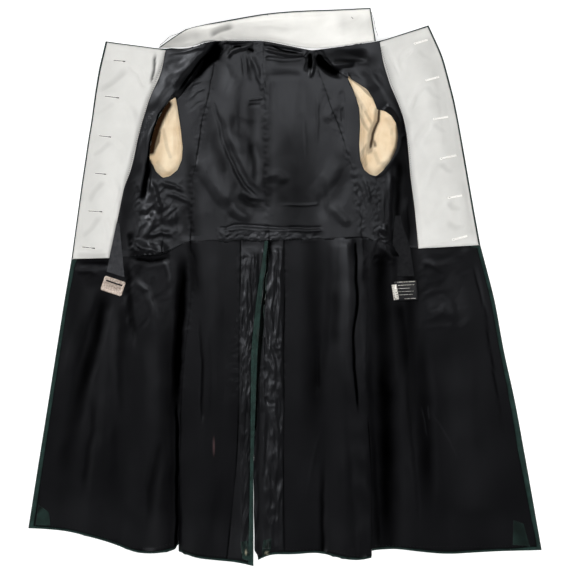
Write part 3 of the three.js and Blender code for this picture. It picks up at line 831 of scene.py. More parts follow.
# %% Fit an opening
def around(line, middle):
    """A closed outline seen from its middle: its radius at 181 bearings."""
    (cx, cy), loop = mat(*middle), [mat(*p) for p in line]
    bearings = np.linspace(-math.pi, math.pi, 181)
    radii = []
    for b in bearings:
        dx, dy, best = math.cos(b), math.sin(b), 0.0
        for (ax, ay), (bx, by) in zip(loop, loop[1:] + loop[:1]):
            ex, ey = bx - ax, by - ay
            cross = dx * ey - dy * ex
            if abs(cross) > 1e-12:
                far = ((ax - cx) * ey - (ay - cy) * ex) / cross
                share = ((ax - cx) * dy - (ay - cy) * dx) / cross
                if -1e-9 <= share <= 1 + 1e-9:
                    best = max(best, far)
        radii.append(best)
    return bearings, np.array(radii)


def refit(points, middle, old, new, reach=30 * mm):
    """Ease an opening from its old outline to its new one, and the cloth round it along with it."""
    points, (cx, cy) = points.copy(), mat(*middle)
    dx, dy = points[:, 0] - cx, points[:, 1] - cy
    away, bearing = np.hypot(dx, dy), np.arctan2(dy, dx)
    was, now = np.interp(bearing, *old), np.interp(bearing, *new)
    soft = np.where(away < was, (away / was) ** 2, 1 - smooth((away - was) / reach))
    stretch = 1 + (now - was) * soft / np.maximum(away, 1e-6)
    points[:, 0], points[:, 1] = cx + dx * stretch, cy + dy * stretch
    return points


def fit_armholes(points):
    for hand, was in armhole_was.items():
        middle, line = armholes[hand]
        points = refit(points, middle, was, around(line, middle))
    return points


# %% [markdown]
# ## The folds of the body
# Each shoulder is one deep roll with a gap beside it, and the neck is bunched where the collar was
# pulled up. Ridges are positive, troughs negative, and a row may change its height as it goes.

# %% Shoulder roll
body_creases = chalk("""
    163,70 172,65 186,60 : -1.8 : 6 5 : 1.6
    160,84 170,76 188,66 : 1.6 : 6 6 : 1.6
    166,56 190,51 212,46 : 1.8 : 3.5 3 : 1.6
    148,114 158,97 172,80 : 2 : 6 7
    137,178 143,147 151,122 : 2 : 5 5
    198,56 182,73 172,90 : 2.4 : 7 5
    226,40 214,54 200,66 188,79 176,96 : -12 -16 -12 -7 -4 : 8 8 : 2 : 0.05 0.2
""")
print(len(body_creases), "creases at the shoulder")

# %% Neck
body_creases += chalk("""
    227,60 231,52 239,48 247,46 254,46 : 4 7 7 5 : 3.4 3 : 1.8 : 0.2 0.15
    226,44 236,42.5 248,42 257,43 : 5 : 2.6 2.6 : 1.8
    230,47 238,45 : -5 : 2 2
    246,50 253,51 : -6 : 2.4 2.4
    228,58 234,66 238,80 : -1.6 : 7 6
    241,50 243,64 245,78 : -1.6 : 2.2 2 : 1.4
    244,50 246,64 248,80 : 1.8 : 2 2.2 : 1.4
    248.5,54 250,66 253,78 : -2 : 2.4 3 : 1.4
    250,54 255,67 261,84 263,100 : 3 3 2 : 3.4 6 : 1.5 : 0.15 0.3
    262,44 263,66 266,100 266,145 : 3 2 1.4 0.6 : 3 9 : 1.6
    262,43 276,45 290,48 304,52 : 5 6 6 4 : 2.6 3.4 : 1.7 : 0.1 0.2
    263,49 278,53 292,55.5 306,56 : 4 7 7 4 : 3 3.4 : 1.7 : 0.15 0.2
    264,58 282,59.5 304,58 : -5 : 3.4 2 : 1.5 : 0.15 0.15
    266,66 286,68 306,66 : 2.2 : 10 9 : 2 : 0.3 0.3
    266,77 286,77 306,75 : -0.8 : 5 5
    308,55 309,64 306,72 : -8 : 4 4
    313,56 313,68 311,80 : 5 : 3 3.6 : 1.8
    318,50 321,60 330,69 345,76 : -10 -16 -10 -4 : 7 6 : 2 : 0.1 0.2
    326,56 344,57.5 372,58 : -5 : 6 9
    328,67 340,65 356,63 : 6 : 5 4.5 : 1.8
    372,64 384,84 396,108 : -2.4 : 8 7
    356,66 368,76 378,92 : 1.8 : 8 7
    382,113 390,105 : 3 : 3.5 3.5 : 1.5
    398,139 410,133 : 1.6 : 3 3
    391,118 400,126 : 2 : 3.5 3.5
""")
print(len(body_creases), "creases with the neck's")

# %% [markdown]
# ## Back and waist
# The back is smoother: long shallow drags run from the shoulders to the waist. A narrow band gathers
# it there, with short pinched creases along it.

# %% Back
body_creases += chalk("""
    186,92 194,84 206,80 : 0.9 : 2.4 2.4 : 1.4
    187,102 196,92 208,88 : 0.9 : 2.4 2.4 : 1.4
    188,113 198,104 207,101 : -0.9 : 2.4 2.4 : 1.4
    207,102 209,130 206,158 : -1.8 : 10 12
    212,96 221,130 230,158 243,184 258,200 : -1 -1.5 -2 -4 -3 : 4 2.6 : 1.4 : 0.15 0.1
    217,96 229,130 240,158 252,180 266,193 : 1 2 3 4 3 : 6 20 : 1.9 : 0.2 0.15
    238,195 250,202 268,203 : -4 : 6 4 : 1.8
    226,120 244,127 260,132 : -1.8 : 12 10
    220,134 238,143 256,150 : 1.6 : 12 10
    197,155 207,172 223,195 246,215 : 2.5 4 4 2 : 12 20 : 1.8 : 0.12 0.3
    249,105 261,105 : -1.2 : 3.4 2.5 : 1.5 : 0.1 0.1
    249,100 262,99 : 1.6 : 2 2 : 1.5 : 0.1 0.1
    255,138 258,170 256,192 : -3 : 7 5
    266,177 278,174 288,184 : 2.4 : 9 6
    270,188 277,200 286,208 : -2.2 : 11 10
    273,80 274,112 : -1 : 5 5
    317,92 317.5,120 315,152 : 1.3 : 2.6 3 : 1.4
    300,86 301,120 : 0.7 : 6 6
    304,120 305,140 307,162 : -1.3 : 1.8 2 : 1.2
    342,106 343,124 : -1.6 : 2.6 2.6 : 1.4
    288,100 287,150 : 0.8 : 7 7
    322,122 331,113 335,98 : 1.4 : 8 7
    341,90 342,106 : -0.8 : 5 5
    342,158 331,178 314,198 : 3 : 12 9
    352,172 343,192 332,210 : -1.6 : 9 9
    330,205 340,216 352,226 : 2 : 7 7
    276,205 296,205 308,205 319,204 : 2 : 1.7 1.7 : 1.3 : 0.45 0.1
    322,175 323,205 326,224 : -3 : 8 6
    356,180 362,196 366,214 : -1.8 : 3 3 : 1.5
    362,176 368,190 371,206 : 1.8 : 3 3 : 1.5
    226,206 240,214 252,220 : 2.4 : 8 8
""")
print(len(body_creases), "creases with the back's")

# %% Waist band
body_creases += chalk("""
    218,228 226,228 234,225.5 262,226.5 290,227.5 : -1.8 : 1.7 1.7 : 1.3 : 0.1 0.1
    220,230 240,229.5 290,230 : 1.4 : 2.4 2.4 : 1.5 : 0.2 0.1
    288,227 304,227.5 321,227 : -3 : 1.8 1.8 : 1.3 : 0.1 0.1
    288,230 304,230.5 322,230 : 3 : 2 2 : 1.4 : 0.1 0.1
""")
print(len(body_creases), "creases with the waist's")

# %% [markdown]
# ## Under the arms
# The lining bags over the waist seam on the left, like a pouch. On the right the forepart is pulled
# down to its strap in a few long folds. Both areas are crumpled finely as well.

# %% Left pouch and right front
body_creases += chalk("""
    151,178 157,198 163,218 : 6 : 6 5 : 1.6
    160,182 172,186 186,193 : 3.4 : 4 4 : 1.5
    164,192 176,196 192,203 : 3 : 4 4 : 1.5
    144,204 152,220 148,240 : 6 : 6 6 : 1.6
    138,215 148,215 158,207 : -5 : 4 4 : 1.6
    156,223 170,226 186,221 : -4 : 7 7
    170,200 174,218 172,236 : 3 : 6 6
    146,237 160,233 174,235 : 4 : 3.5 3.5 : 1.6
    128,247 150,250 171,248 : 10 : 10 10 : 2 : 0.25 0.25
    148,246 158,253 168,251 : 3.5 : 3 3 : 1.5
    128,257 148,262 174,258 : -6 : 4 4 : 1.6
    134,244 142,252 : -3 : 3 3 : 1.5
    186,204 188,222 190,242 : -4 : 9 7
    150,158 148,180 142,204 : -8 -10 -6 : 5 5
    398,150 398,190 397,220 395,254 : -4 -8 -8 -6 : 11 10 : 2 : 0.25 0.12
    383,188 384,215 386,242 : 2.4 : 3.5 3.5 : 1.6
    390,166 389,200 388,238 : 3 : 4 4
    406,198 406,222 408,246 : 2.2 : 2.4 2.4 : 1.5
    376,224 388,232 392,248 : 3.4 : 6 5 : 1.6
    376,246 386,250 396,262 : 3 : 5 5 : 1.6
""")
body_crumple = [
    ((134, 182, 180, 240), 14, 16, 8, 55, 2.4, 1), ((130, 240, 170, 260), 6, 10, 5, 20, 2.4, 2),
    ((218, 230, 318, 240), 6, 7, 3.6, 62, 2.6, 3), ((229, 42, 262, 54), 5, 7, 4, 15, 1.8, 4),
    ((354, 172, 374, 222), 8, 12, 6, 70, 1.0, 5), ((186, 70, 345, 225), 24, 44, 16, 75, 0.7, 6),
    ((372, 224, 394, 264), 6, 10, 6, 50, 2.6, 7), ((160, 50, 215, 110), 14, 26, 12, 60, 0.5, 8),
]
print(len(body_creases), "creases in the body")

# %% [markdown]
# ## The folds of the skirts
# The skirts fall into long soft pleats where the body is cut into the waist. The left one leans over
# its neighbour, and the right one stands beside a pressed pleat that is still stitched at its top.

# %% Where the skirts lean
skirt_lean = chalk("""
    169,256 167,350 166,450 164,556 : 8 7 7 9 : 34 16 : 0.06 0
    274,240 269,300 266,350 : -1.5 -3.5 -3 : 4 13 : 0 0.4
    257,420 256,500 257,556 : -3 : 2 10 : 0.2 0.05
    112,258.5 130,258.5 150,256 165,253 178,248 190,243 215,242 265,242 300,241 335,239 360,238 378,242 \
        396,248 : 2 : 12 0.8 : 0 0
""")
print(len(skirt_lean), "lines lean")

# %% Long rolls and the left front skirt
skirt_creases = chalk("""
    184,252 183,300 179,350 177,400 177,450 177,552 : -3 -6 -7 -7 -5 -6 : 8 6 : 1.8 : 0.08 0
    250,246 250,400 247,560 : 3 : 14 12 : 2 : 0.02 0
    274,246 272,400 272,556 : 3 : 13 13 : 2 : 0.02 0
    107,290 96,335 84,378 74,420 66,460 : -3 -5 -5 -4 -2 : 13 12 : 2 : 0.12 0.3
    99,268 84,320 68,372 58,440 : 2 4 4 2 : 12 10 : 2 : 0.2 0.3
    125,305 126,360 126,430 : -2.4 : 10 9
    110,315 108,400 112,510 : 2.4 : 10 12
    93,392 92,430 86,465 82,500 : -2.2 : 6 9
    166,425 158,455 150,490 148,550 : -2 -3 -3 -2 : 8 12 : 2 : 0.3 0
    128,262 130,300 134,345 : -3 : 6 5
    70,400 60,460 56,530 : 2.4 : 10 10 : 2 : 0.3 0
    104,380 106,440 110,540 : 2.4 : 9 12 : 2 : 0.3 0
    128,420 130,480 131,550 : 3 : 12 14 : 2 : 0.3 0
    131,298 133,325 136,350 : -2 : 2.5 2.5 : 1.4
    134,279 148,290 154,308 157,324 : 3 : 5 4 : 1.5
    166,258 169,272 170,290 : 3 : 4 4
    144,300 150,350 152,420 : 1.4 : 12 12
    74,263 92,264 112,263 : -4 : 7 5 : 2 : 0.1 0.2
    74,272 90,271 102,277 : 1.4 : 3 3
""")
print(len(skirt_creases), "creases at the left front")

# %% Left back skirt, and the pressed pleat on the right
skirt_creases += chalk("""
    191,246 194,262 197,290 : -2.5 : 3 3 : 1.5
    199,318 203,365 202,425 : -2.4 : 2.2 2.2 : 1.3 : 0.2 0.1
    206,320 208,380 206,430 : 1 : 5 5
    222,300 226,360 224,420 : -1.2 : 10 8
    214,250 216,300 214,360 : 1.2 : 9 9
    226,470 218,510 212,550 : -1.2 : 8 8
    336,238 338,300 337,360 340,420 : 2.4 : 11 9 : 2 : 0.05 0.3
    346,238 347,300 346,350 350,410 : 4.5 : 12 8 : 2 : 0.05 0.2
    354,238 356,270 357,305 353,336 355,380 359,417 : -3 -4 -6 -5 -4 -2 : 2.6 2.2 : 1.3 : 0.02 0.15
    359,244 361,300 362,400 366,480 371,556 : 5 6 8 12 14 : 16 13 : 2 : 0.1 0
    380,244 382,320 384,400 385,480 387,552 : -2 -3 -3 -4 -5 : 12 16 : 2 : 0.1 0
    318,325 318,365 317,400 : -2.6 : 6 4 : 1.6
    323,450 322,500 323,552 : -1.5 -4 -6 : 5 6 : 1.6 : 0.3 0
    300,250 304,330 300,420 : 1 : 12 12
    325,405 312,465 304,505 : 1.4 : 9 4
    340,440 344,490 350,545 : 1.8 : 11 11 : 2 : 0.3 0
""")
print(len(skirt_creases), "creases with both backs'")

# %% Right front skirt
skirt_creases += chalk("""
    399,300 402,380 410,460 418,530 : 3.4 : 8 8
    406,372 412,430 418,500 421,534 : -2.4 : 4 3 : 1.6
    420,320 426,400 428,470 426,520 : -4 : 12 12 : 2
    448,290 458,380 466,470 474,550 : 2 3 4 5 : 24 28 : 2 : 0.2 0
    420,402 424,422 427,440 : 1.6 : 1.4 1.4 : 1.2
    426,404 429,424 : 1.2 : 1.2 1.2 : 1.2
    401,300 404,335 409,376 : -1.4 : 12 11
    426,318 442,312 456,318 : 2 : 7 6
    420,262 434,266 446,274 : 1.8 : 4 4
    440,294 452,304 458,322 : 1.4 : 5 4
    472,262 477,276 482,292 : 1.8 : 2.5 2.5 : 1.5
    472,262 477,285 484,310 491,360 500,415 506,450 : -2 : 3 3 : 1.5 : 0.1 0.4
""")
print(len(skirt_creases), "creases with the right front's")

# %% [markdown]
# ## The vent
# The two facings of the vent have been sat on for years, so they carry the sharpest crumple of the
# coat: a few pinched creases, and long narrow facets over them.

# %% Vent facings, and crumple
skirt_creases += chalk("""
    249,262 252,290 253,330 : -3 : 1.8 2 : 1.3
    245,262 247,310 245,350 : 2.4 : 3 2.4 : 1.5
    251,256 246,258 241,264 : -2 : 1.6 2 : 1.3
    254,256 256,280 256,310 : 2.4 : 2.4 2.4 : 1.5
    248,395 246,430 244,460 : -2.4 : 2.4 2.2 : 1.4
    250,360 250,390 248,420 : 2 : 2.4 2.4 : 1.5
    276,248 273,290 269,330 : 3 : 2.6 2.6 : 1.5
    281,256 280,300 277,345 : 2.6 : 2 2 : 1.5
    279,256 277,300 273,345 : -2.4 : 1.8 1.8 : 1.4
    270,420 266,460 262,500 266,535 : -2 : 2.6 2.6 : 1.5
    276,400 278,440 274,500 : 2 : 3 3 : 1.6
    262,396 270,403 278,402 : -2 : 2 2 : 1.4
""")
skirt_crumple = [
    ((228, 340, 240, 405), 8, 12, 5, 8, 0.6, 11), ((120, 262, 170, 330), 14, 18, 9, 65, 1.2, 12),
    ((78, 262, 104, 284), 6, 16, 7, 15, 0.6, 13), ((418, 250, 470, 330), 12, 22, 10, 30, 1.2, 14),
    ((60, 330, 175, 545), 20, 90, 16, 86, 0.6, 15), ((196, 262, 238, 545), 12, 80, 11, 88, 0.5, 16),
    ((285, 262, 372, 545), 14, 90, 12, 89, 0.5, 17), ((396, 330, 520, 545), 20, 90, 16, 100, 0.6, 18),
]
vent_crumple = [
    ((241, 254, 258, 552), 2, 38, 7, 87, 5.0, 21), ((262, 250, 283, 548), 2, 34, 7.5, 93, 5.6, 22),
    ((241, 260, 258, 552), 3, 16, 3.6, 80, 1.5, 25), ((262, 256, 283, 548), 3, 18, 3.8, 99, 1.7, 26),
    ((241, 330, 283, 420), 8, 14, 6, 40, 0.8, 23),
]
front_edges = chalk("""
    74,256 66,300 52,400 34,528 : -1.8 : 4 16 : 0.03 0
    470,247 484,300 508,430 528,548 : 6 6.2 5 8 : 18 8 : 0 0
""")
print(len(skirt_creases), "creases in the skirts")

# %% [markdown]
# ## Shade in the folds
# The paint goes on as broad soft shade first, then the closed folds, then crisp lines at the gaps.
# Painted highlights raise the gleam on ridges and broad patches: they are taken away from the shade.

# %% Broad shade on the skirts
broad_shade = chalk("""
    74,264 76,310 84,350 92,392 : 0.2 0.35 0.4 0.3 : 18 16 : 0 0.2
    124,300 122,334 118,366 : 0.45 : 9 9
    146,258 140,268 134,276 : 0.5 : 8 8
    172,320 170,360 168,400 171,440 : 0.3 0.6 0.65 0.5 : 8 9
    192,244 194,270 196,300 : 0.6 : 9 10 : 0 0.3
    270,241 267,264 264,290 261,330 : 0.98 0.98 0.98 0.9 : 3 5 : 0 0.3
    312,242 314,300 314,380 314,450 : 0.45 0.55 0.6 0.4 : 17 15 : 0 0.3
    338,280 335,310 334,350 : 0.4 : 9 8
    410,248 410,300 410,340 412,400 412,460 : 0.75 0.75 0.6 0.45 0.4 : 13 12 : 0 0.3
    364,240 364,270 363,290 : 0.5 : 4 8 : 0 0.3
""")
print(len(broad_shade), "broad shades on the skirts")

# %% Broad shade where the back turns away from the light
broad_shade += chalk("""
    294,112 294,150 292,190 290,228 : 0.15 0.4 0.6 0.55 : 30 36 : 0.2 0
    264,106 264,160 267,212 : 0.35 0.5 0.6 : 6 14 : 0.2 0.1
    250,98 251,130 250,172 : 0.45 : 6 7 : 0.1 0.2
    250,62 251,84 : 0.5 : 4 3
    212,124 216,150 228,180 : 0.4 0.6 0.6 : 10 9 : 0.2 0.2
    190,140 190,190 193,236 : 0.3 0.55 0.5 : 7 12 : 0.2 0
    342,146 338,168 326,190 : 0.4 : 12 11
    294,233 310,234 328,234 : 0.4 : 5 5
    246,200 256,206 270,210 : 0.5 : 8 6
    400,146 398,200 397,256 : 0.95 : 11 10 : 0.2 0
    316,54 345,57 384,62 : 0.7 : 13 10 : 0.1 0.2
    384,56 398,104 405,150 406,200 406,246 : 0.45 0.7 0.75 0.75 0.7 : 15 14 : 0.1 0
    378,186 380,215 384,244 : 0.35 : 14 12 : 0.2 0.1
    160,64 148,100 136,150 126,200 120,250 : 0.1 0.3 0.6 0.6 0.5 : 8 13 : 0.1 0
    345,52 362,62 378,84 : 0.4 : 12 14
    272,64 300,62 310,66 : 0.35 : 6 8
    220,62 214,78 206,92 : 0.3 : 10 12
    206,110 208,135 204,160 : 0.35 : 9 10
    222,150 232,175 240,192 : 0.35 : 12 3
    266,190 278,204 300,212 : 0.3 : 8 9
    184,206 186,226 188,240 : 0.4 : 9 8
""")
print(len(broad_shade), "broad shades in all")

# %% Closed folds and open gaps of the body
open_shade = chalk("""
    176,97 168,103 160,115 154.5,130 150.5,146 149,160 145,180 141,206 : 1 : 2.6 3
    218,40 206,56 194,69 184,84 176,97 : 0.9 : 1.8 4
    386,182 385,215 386,244 : 0.4 : 7 7
""")
deep_shade = chalk("""
    228,38 215,52 201,65 188,81 176,98 : 1.1 1.2 1.1 1 0.8 : 11 12
    150,154 148,170 144,188 141,206 : 1.1 : 6 5
    216,44 211,62 : 1 : 12 15
    309,50 310,72 : 0.8 : 5 6
    316,50 322,62 334,71 346,76 : 1.1 1.2 0.9 0.6 : 9 6
    232,47 243,46 : 0.9 : 2 2
    247,48 255,52 : 0.9 : 3 2
    128,259 150,262 174,259 : 0.8 : 3 3.4
    268,44 284,51 302,55 : 0.8 : 2 2
    240,198 252,204 266,205 : 0.5 : 3 5
    128,228 132,246 140,256 : 0.7 : 6 9
""")
print(len(open_shade), "gaps and", len(deep_shade), "closed folds")

# %% Closed folds of the skirts
skirt_shade = chalk("""
    185,248 183,300 179,350 176.5,400 177,440 : 0.7 1.1 1.2 1.1 0.8 : 12 7 : 0.12 0.3
    177,380 177,450 177,556 : 1.2 1.2 1.1 : 3.4 2.8 : 0.2 0
    172,300 168,400 169,460 170,552 : 0.5 : 14 11 : 0.2 0
    106,286 96,340 84,380 74,420 66,460 62,490 : 0.6 0.9 0.85 0.6 0.4 0.1 : 13 12 : 0.1 0.2
    76,262 92,264 112,262 : 0.6 : 6 4
    127,262 130,300 134,345 : 0.8 0.6 0.3 : 6 5 : 0.1 0.2
    76,268 88,276 98,290 : 0.3 : 12 12
    93,392 92,430 86,465 82,500 : 0.45 : 4 6
    166,425 158,455 150,490 148,535 : 0.5 : 5 9
    118,320 120,370 121,420 : 0.3 : 5 6
    200,320 203,370 202,420 : 0.3 0.7 0.5 : 2 2
    355,240 356,270 357,305 353,336 355,380 359,417 : 1.2 : 2.2 2 : 0.02 0.1
    330,262 326,340 318,400 : 0.35 : 9 6
    318,335 319,365 318,400 : 0.7 : 4 3.5
    323,455 322,510 323,556 : 0.3 0.8 1 : 4 3 : 0.3 0
    379,244 382,320 384,400 385,460 387,552 : 0.9 0.8 0.9 1 0.6 : 14 19 : 0.05 0
    379,400 381,450 387,510 : 0.5 : 5 5 : 0.4 0.4
    366,300 370,400 375,500 377,556 : 0.4 : 5 8 : 0.3 0
    396,290 403,330 409,396 : 0.75 : 15 12 : 0.2 0.4
    400,304 402,318 : 0.4 : 5 5
    405,334 407,352 : 0.4 : 4 4
    418,316 425,400 428,460 428,525 : 0.4 0.55 0.65 0.4 : 16 9
    472,262 477,285 484,310 491,360 500,415 506,450 : 0.7 : 2 2.2 : 0.1 0.4
    268,240 265,290 261,334 : 1 : 0.5 3
    394,252 396,275 394,300 : 0.6 : 8 6
""")
print(len(skirt_shade), "closed folds in the skirts")

# %% Painted highlights on the body
painted_highlights = chalk("""
    224,60 228,80 232,100 : 0.35 0.55 0.3 : 12 9
    228,124 236,150 240,170 252,190 : 0.2 0.4 0.4 0.8 : 4 8 : 0.2 0.1
    196,82 192,100 190,116 : 0.35 : 9 12
    200,156 203,174 214,190 224,206 234,222 : 0.5 0.6 0.7 0.6 0.6 : 6 7
    232,210 248,220 : 0.5 : 6 6
    262,44 278,48 304,55 : 0.6 : 2.4 3
    228,56 234,49 252,45 : 0.9 : 2.4 2.4
    340,160 330,180 314,198 : 0.35 : 8 8
    218,227 262,226.5 320,227 : 0.7 : 1.5 1.5 : 0.1 0.1
    245,232 265,236 285,233 : 0.6 : 8 6
    320,205 300,205.5 278,205 : 0.5 : 1.5 1.5
    140,192 150,215 150,238 : 0.7 : 12 14
    170,62 182,56 200,50 : 0.4 : 4 4
    152,130 160,108 176,88 : 0.3 : 6 8
    246,256 247,340 246,450 : 0.25 : 8 9 : 0.05 0.3
    273,252 271,360 271,500 : 0.6 : 12 12 : 0.05 0.3
""")
print(len(painted_highlights), "gleams on the body")

# %% Painted highlights on the skirts
painted_highlights += chalk("""
    345,238 347,290 347,340 348,400 : 2.2 1.5 0.7 0.4 : 11 8 : 0 0.3
    336,238 336,280 : 0.8 0.4 : 7 7 : 0 0.3
    360,300 364,340 365,380 : 0.4 : 4 7 : 0.1 0.3
    40,512 100,520 150,530 200,540 250,545 : 0.7 : 44 30 : 0 0
    270,530 320,535 360,540 : 0.35 : 40 30 : 0 0
    380,528 440,528 520,530 : 0.35 : 24 24 : 0 0
    134,276 146,290 153,308 157,326 : 1.9 : 4 6
    166,258 170,274 171,300 : 1.4 : 4 4 : 0.1 0.4
    78,267 90,265 100,266 : 1 : 2 3
    420,256 434,263 448,262 462,258 : 1.5 : 4 5
    424,308 440,302 454,306 : 1.3 : 8 10
    444,262 458,300 466,330 : 0.6 : 12 14
    474,262 479,285 486,318 : 1.2 : 2 4
    456,340 466,420 474,520 : 0.5 : 26 30 : 0.3 0.1
    421,404 424,420 428,440 : 2 : 1.2 1.2
    427,404 429,420 : 2.4 : 1.2 1.2
    430,410 450,440 462,470 : 0.6 : 1.6 1.6
    114,300 114,350 116,420 : 0.5 : 6 7
    148,330 152,380 150,430 : 0.6 : 9 11
    130,450 132,500 134,545 : 0.4 : 12 12 : 0.3 0.1
    210,250 212,300 214,350 : 0.3 : 10 10
    214,437 214,455 : 0.6 : 1.4 1.4
    345,430 352,490 355,545 : 0.5 : 12 12 : 0.3 0.1
    306,500 312,460 322,425 : 0.4 : 5 3
""")
print(len(painted_highlights), "gleams in all")


# %% Paint a table of lines
def painted(points, table, crisp=1.0, most=1.0):
    """Shade along chalked lines; a crisp one has a clear edge, the others fade away softly."""
    shade = np.zeros(len(points))
    for line, strength, left, right, *rest in table:
        fade = rest[0] if rest else (0.25, 0.25)
        near, share, aside = reach_of(points, line, left, right)
        patchy = 1 + 0.2 * noise(points[near, 0] / (14 * square), points[near, 1] / (40 * square), 95)
        dark = along_line(strength, share) * patchy * profile(share, aside, left, right, 2.0, fade)
        dark = smooth(crisp * dark) if crisp > 1 else np.clip(dark, 0, most)
        shade[near] = np.maximum(shade[near], dark)
    return shade


def shade_of(points):
    low = 1 - smooth((points[:, 2] - 12 * mm) / (18 * mm))
    closed, gaps = painted(points, deep_shade, 1.3) * low, painted(points, open_shade, 1.3)
    soft = [painted(points, table) for table in (skirt_shade, broad_shade)]
    dark = np.maximum.reduce([closed, gaps, *soft])
    # The painted shade, less the painted highlights, which raise the gleam where the result is negative.
    return dark - painted(points, painted_highlights, most=2.5) * (1 - dark)


# %% [markdown]
# ## The whole move
# Every layer of the coat settles by the same move, so layers stay together: lean, fit the armholes,
# then crease and crumple, and last the slow sway that no laid cloth is free of.

# %% Settle any points of the coat
body_end = 120 * mm


def settle(points):
    points = fit_armholes(lean(points, body_lean + skirt_lean))
    crumples = body_crumple + skirt_crumple + vent_crumple
    points[:, 2] += creases(points, body_creases + skirt_creases) + crumpled(points, crumples)
    upper = 1 - smooth((points[:, 1] - body_end) / (-160 * mm))
    of_body, of_skirts = sway(points, 60, 26, 80, 2.2, 61), sway(points, 170, 26, 88, 0.9, 63)
    points[:, 2] += of_body * upper + of_skirts * (1 - upper)
    return points


def note_armholes(points, rim):
    """Measure the openings of the leaning lining, before they are fitted."""
    leant = lean(points, body_lean + skirt_lean)[rim]
    for hand, (middle, line) in armholes.items():
        dx, dy = (leant[:, :2] - mat(*middle)).T
        near = np.hypot(dx, dy) < 130 * mm
        bearing, away = np.arctan2(dy[near], dx[near]), np.hypot(dx[near], dy[near])
        keep = away < 1.18 * np.interp(bearing, *around(line, middle))
        order = np.argsort(bearing[keep])
        armhole_was[hand] = (bearing[keep][order], away[keep][order])


# %% [markdown]
# ## What lies over what
# No sheet may cut through the one below it. The highest point of the lower layer is kept for every
# small cell of the floor, and the upper layer stays over it. Testing each face against each other
# face would be exact, but slow, and cloth never lies that close.

# %% Heights of a layer
cells_across = 280


def extreme_of(sheets, pick, empty, eased=0, cell=5 * mm):
    """The lowest or highest sheet over each small cell of the floor and its neighbours."""
    grid = np.full((cells_across, cells_across), empty)

    def cell_of(points):
        return tuple((np.floor(points[:, :2] / cell).astype(int) + cells_across // 2).T)

    for sheet in sheets:
        pick.at(grid, cell_of(sheet), sheet[:, 2])
    for axis in (0, 1):
        grid = pick(grid, pick(np.roll(grid, 1, axis), np.roll(grid, -1, axis)))
    for _ in range(eased):
        for axis in (0, 1):
            grid = np.maximum(grid, (grid + np.roll(grid, 1, axis) + np.roll(grid, -1, axis)) / 3)
    return lambda points: grid[cell_of(points)]


def above(heights, lowest, ease=2.5 * mm):
    """Keep heights over the lowest allowed, easing in so that no edge shows where it acts."""
    over = heights - lowest
    return lowest + (over + np.sqrt(over**2 + ease**2)) / 2


# %% [markdown]
# ## Sleeves and underlap
# The sleeves lie flat under the fronts, and the vent has a wool underlap below it. They hardly show,
# but everything else lies on them, so they come first, and their heights are noted as a pile.

# %% Lay what is underneath
def flat_under(points, rim):
    points = points.copy()
    inner = smooth(gap_to(points, rim) / (10 * mm))
    points[:, 2] += (crumple(points, 30, 10, 70, 0.5, 31) - 0.4 * mm) * inner
    return points, np.zeros(len(points))


def as_underlap(points, rim):
    """Flat, with its top pulled up to the waist, its foot down to the hem, and painted almost black as shade.
    """
    points, shade = flat_under(points, rim)
    top = smooth((points[:, 1] - 40 * mm) / (40 * mm))
    foot = smooth((-250 * mm - points[:, 1]) / (60 * mm))
    points[:, 1] += 32 * mm * top - 22 * mm * foot
    return points, shade + 0.95


sleeves = []
for name in ("top_sleeve_left", "top_sleeve_right", "under_sleeve_left", "under_sleeve_right"):
    sleeves.append(lay_cloth([name], 3, wool, flat_under, wall=1.4))
lay_cloth(["vent_underlap"], 3, wool, as_underlap, wall=1.4)
pile = extreme_of(sleeves, np.maximum, 0.0, eased=8)

# %% [markdown]
# ## The lining and the vent
# Six body panels are one sheet, each skirt with its vent facing another. The left skirt's own wool
# turns in round the edge of the vent and shows as a narrow green strip.

# %% Lay the lining
def as_lining(points, rim):
    if not armhole_was:
        note_armholes(points, rim)
    points = settle(lean(points, front_edges))
    points[:, 2] = above(points[:, 2] + 0.4 * mm, pile(points) + 3.4 * mm)
    return points, shade_of(points)


def as_upper(points, rim):
    points = settle(points)
    points[:, 2] = np.maximum(points[:, 2] + 0.5 * mm, 3.4 * mm)
    return points, shade_of(points)


hands = ("left", "right")
body = [f"lining_{panel}_left" for panel in ("front", "side", "back")]
body += [f"lining_{panel}_right" for panel in ("back", "side", "front")]
surfaces = [lay_cloth(body, 4, satin, as_lining, groove=0.9)]
for hand in hands:
    skirts = [f"lining_skirt_front_{hand}", f"lining_skirt_back_{hand}", f"vent_facing_{hand}"]
    surfaces.append(lay_cloth(skirts, 4, (shaded_satin, shaded_satin, satin), as_lining, groove=0.9))
over_wool = extreme_of(surfaces, np.minimum, 1.0)
surfaces.append(lay_cloth(["vent_turned_edge"], 4, wool, as_upper, rim=1.8))

# %% [markdown]
# ## Outer cloth
# Under the lining lies the coat itself, in heavy wool. It follows the lining from below and shows
# only at the edges, but it must be whole when someone turns the coat over.

# %% Lay the wool
def as_outer(points, rim):
    points = settle(points)
    points[:, 2] = np.maximum(np.minimum(points[:, 2], over_wool(points) - 1.3 * mm), pile(points) + 1.9 * mm)
    return points, np.zeros(len(points))


outer = ["forepart_left", "side_body_left", "back_left", "back_right", "side_body_right", "forepart_right"]
for names in (outer, *([f"skirt_front_{hand}", f"skirt_back_{hand}"] for hand in hands)):
    lay_cloth(names, 3, wool, as_outer, wall=1.8)

# %% [markdown]
# ## Facings and collar
# Both lapel facings and the inner collar are off-white wool, cut a little smaller than the coat so
# that a thin green line shows round them. Their folds are wide and shallow. White cloth can't show
# them by its gleam, so a faint shade runs beside each buttonhole, where the cloth is drawn in.

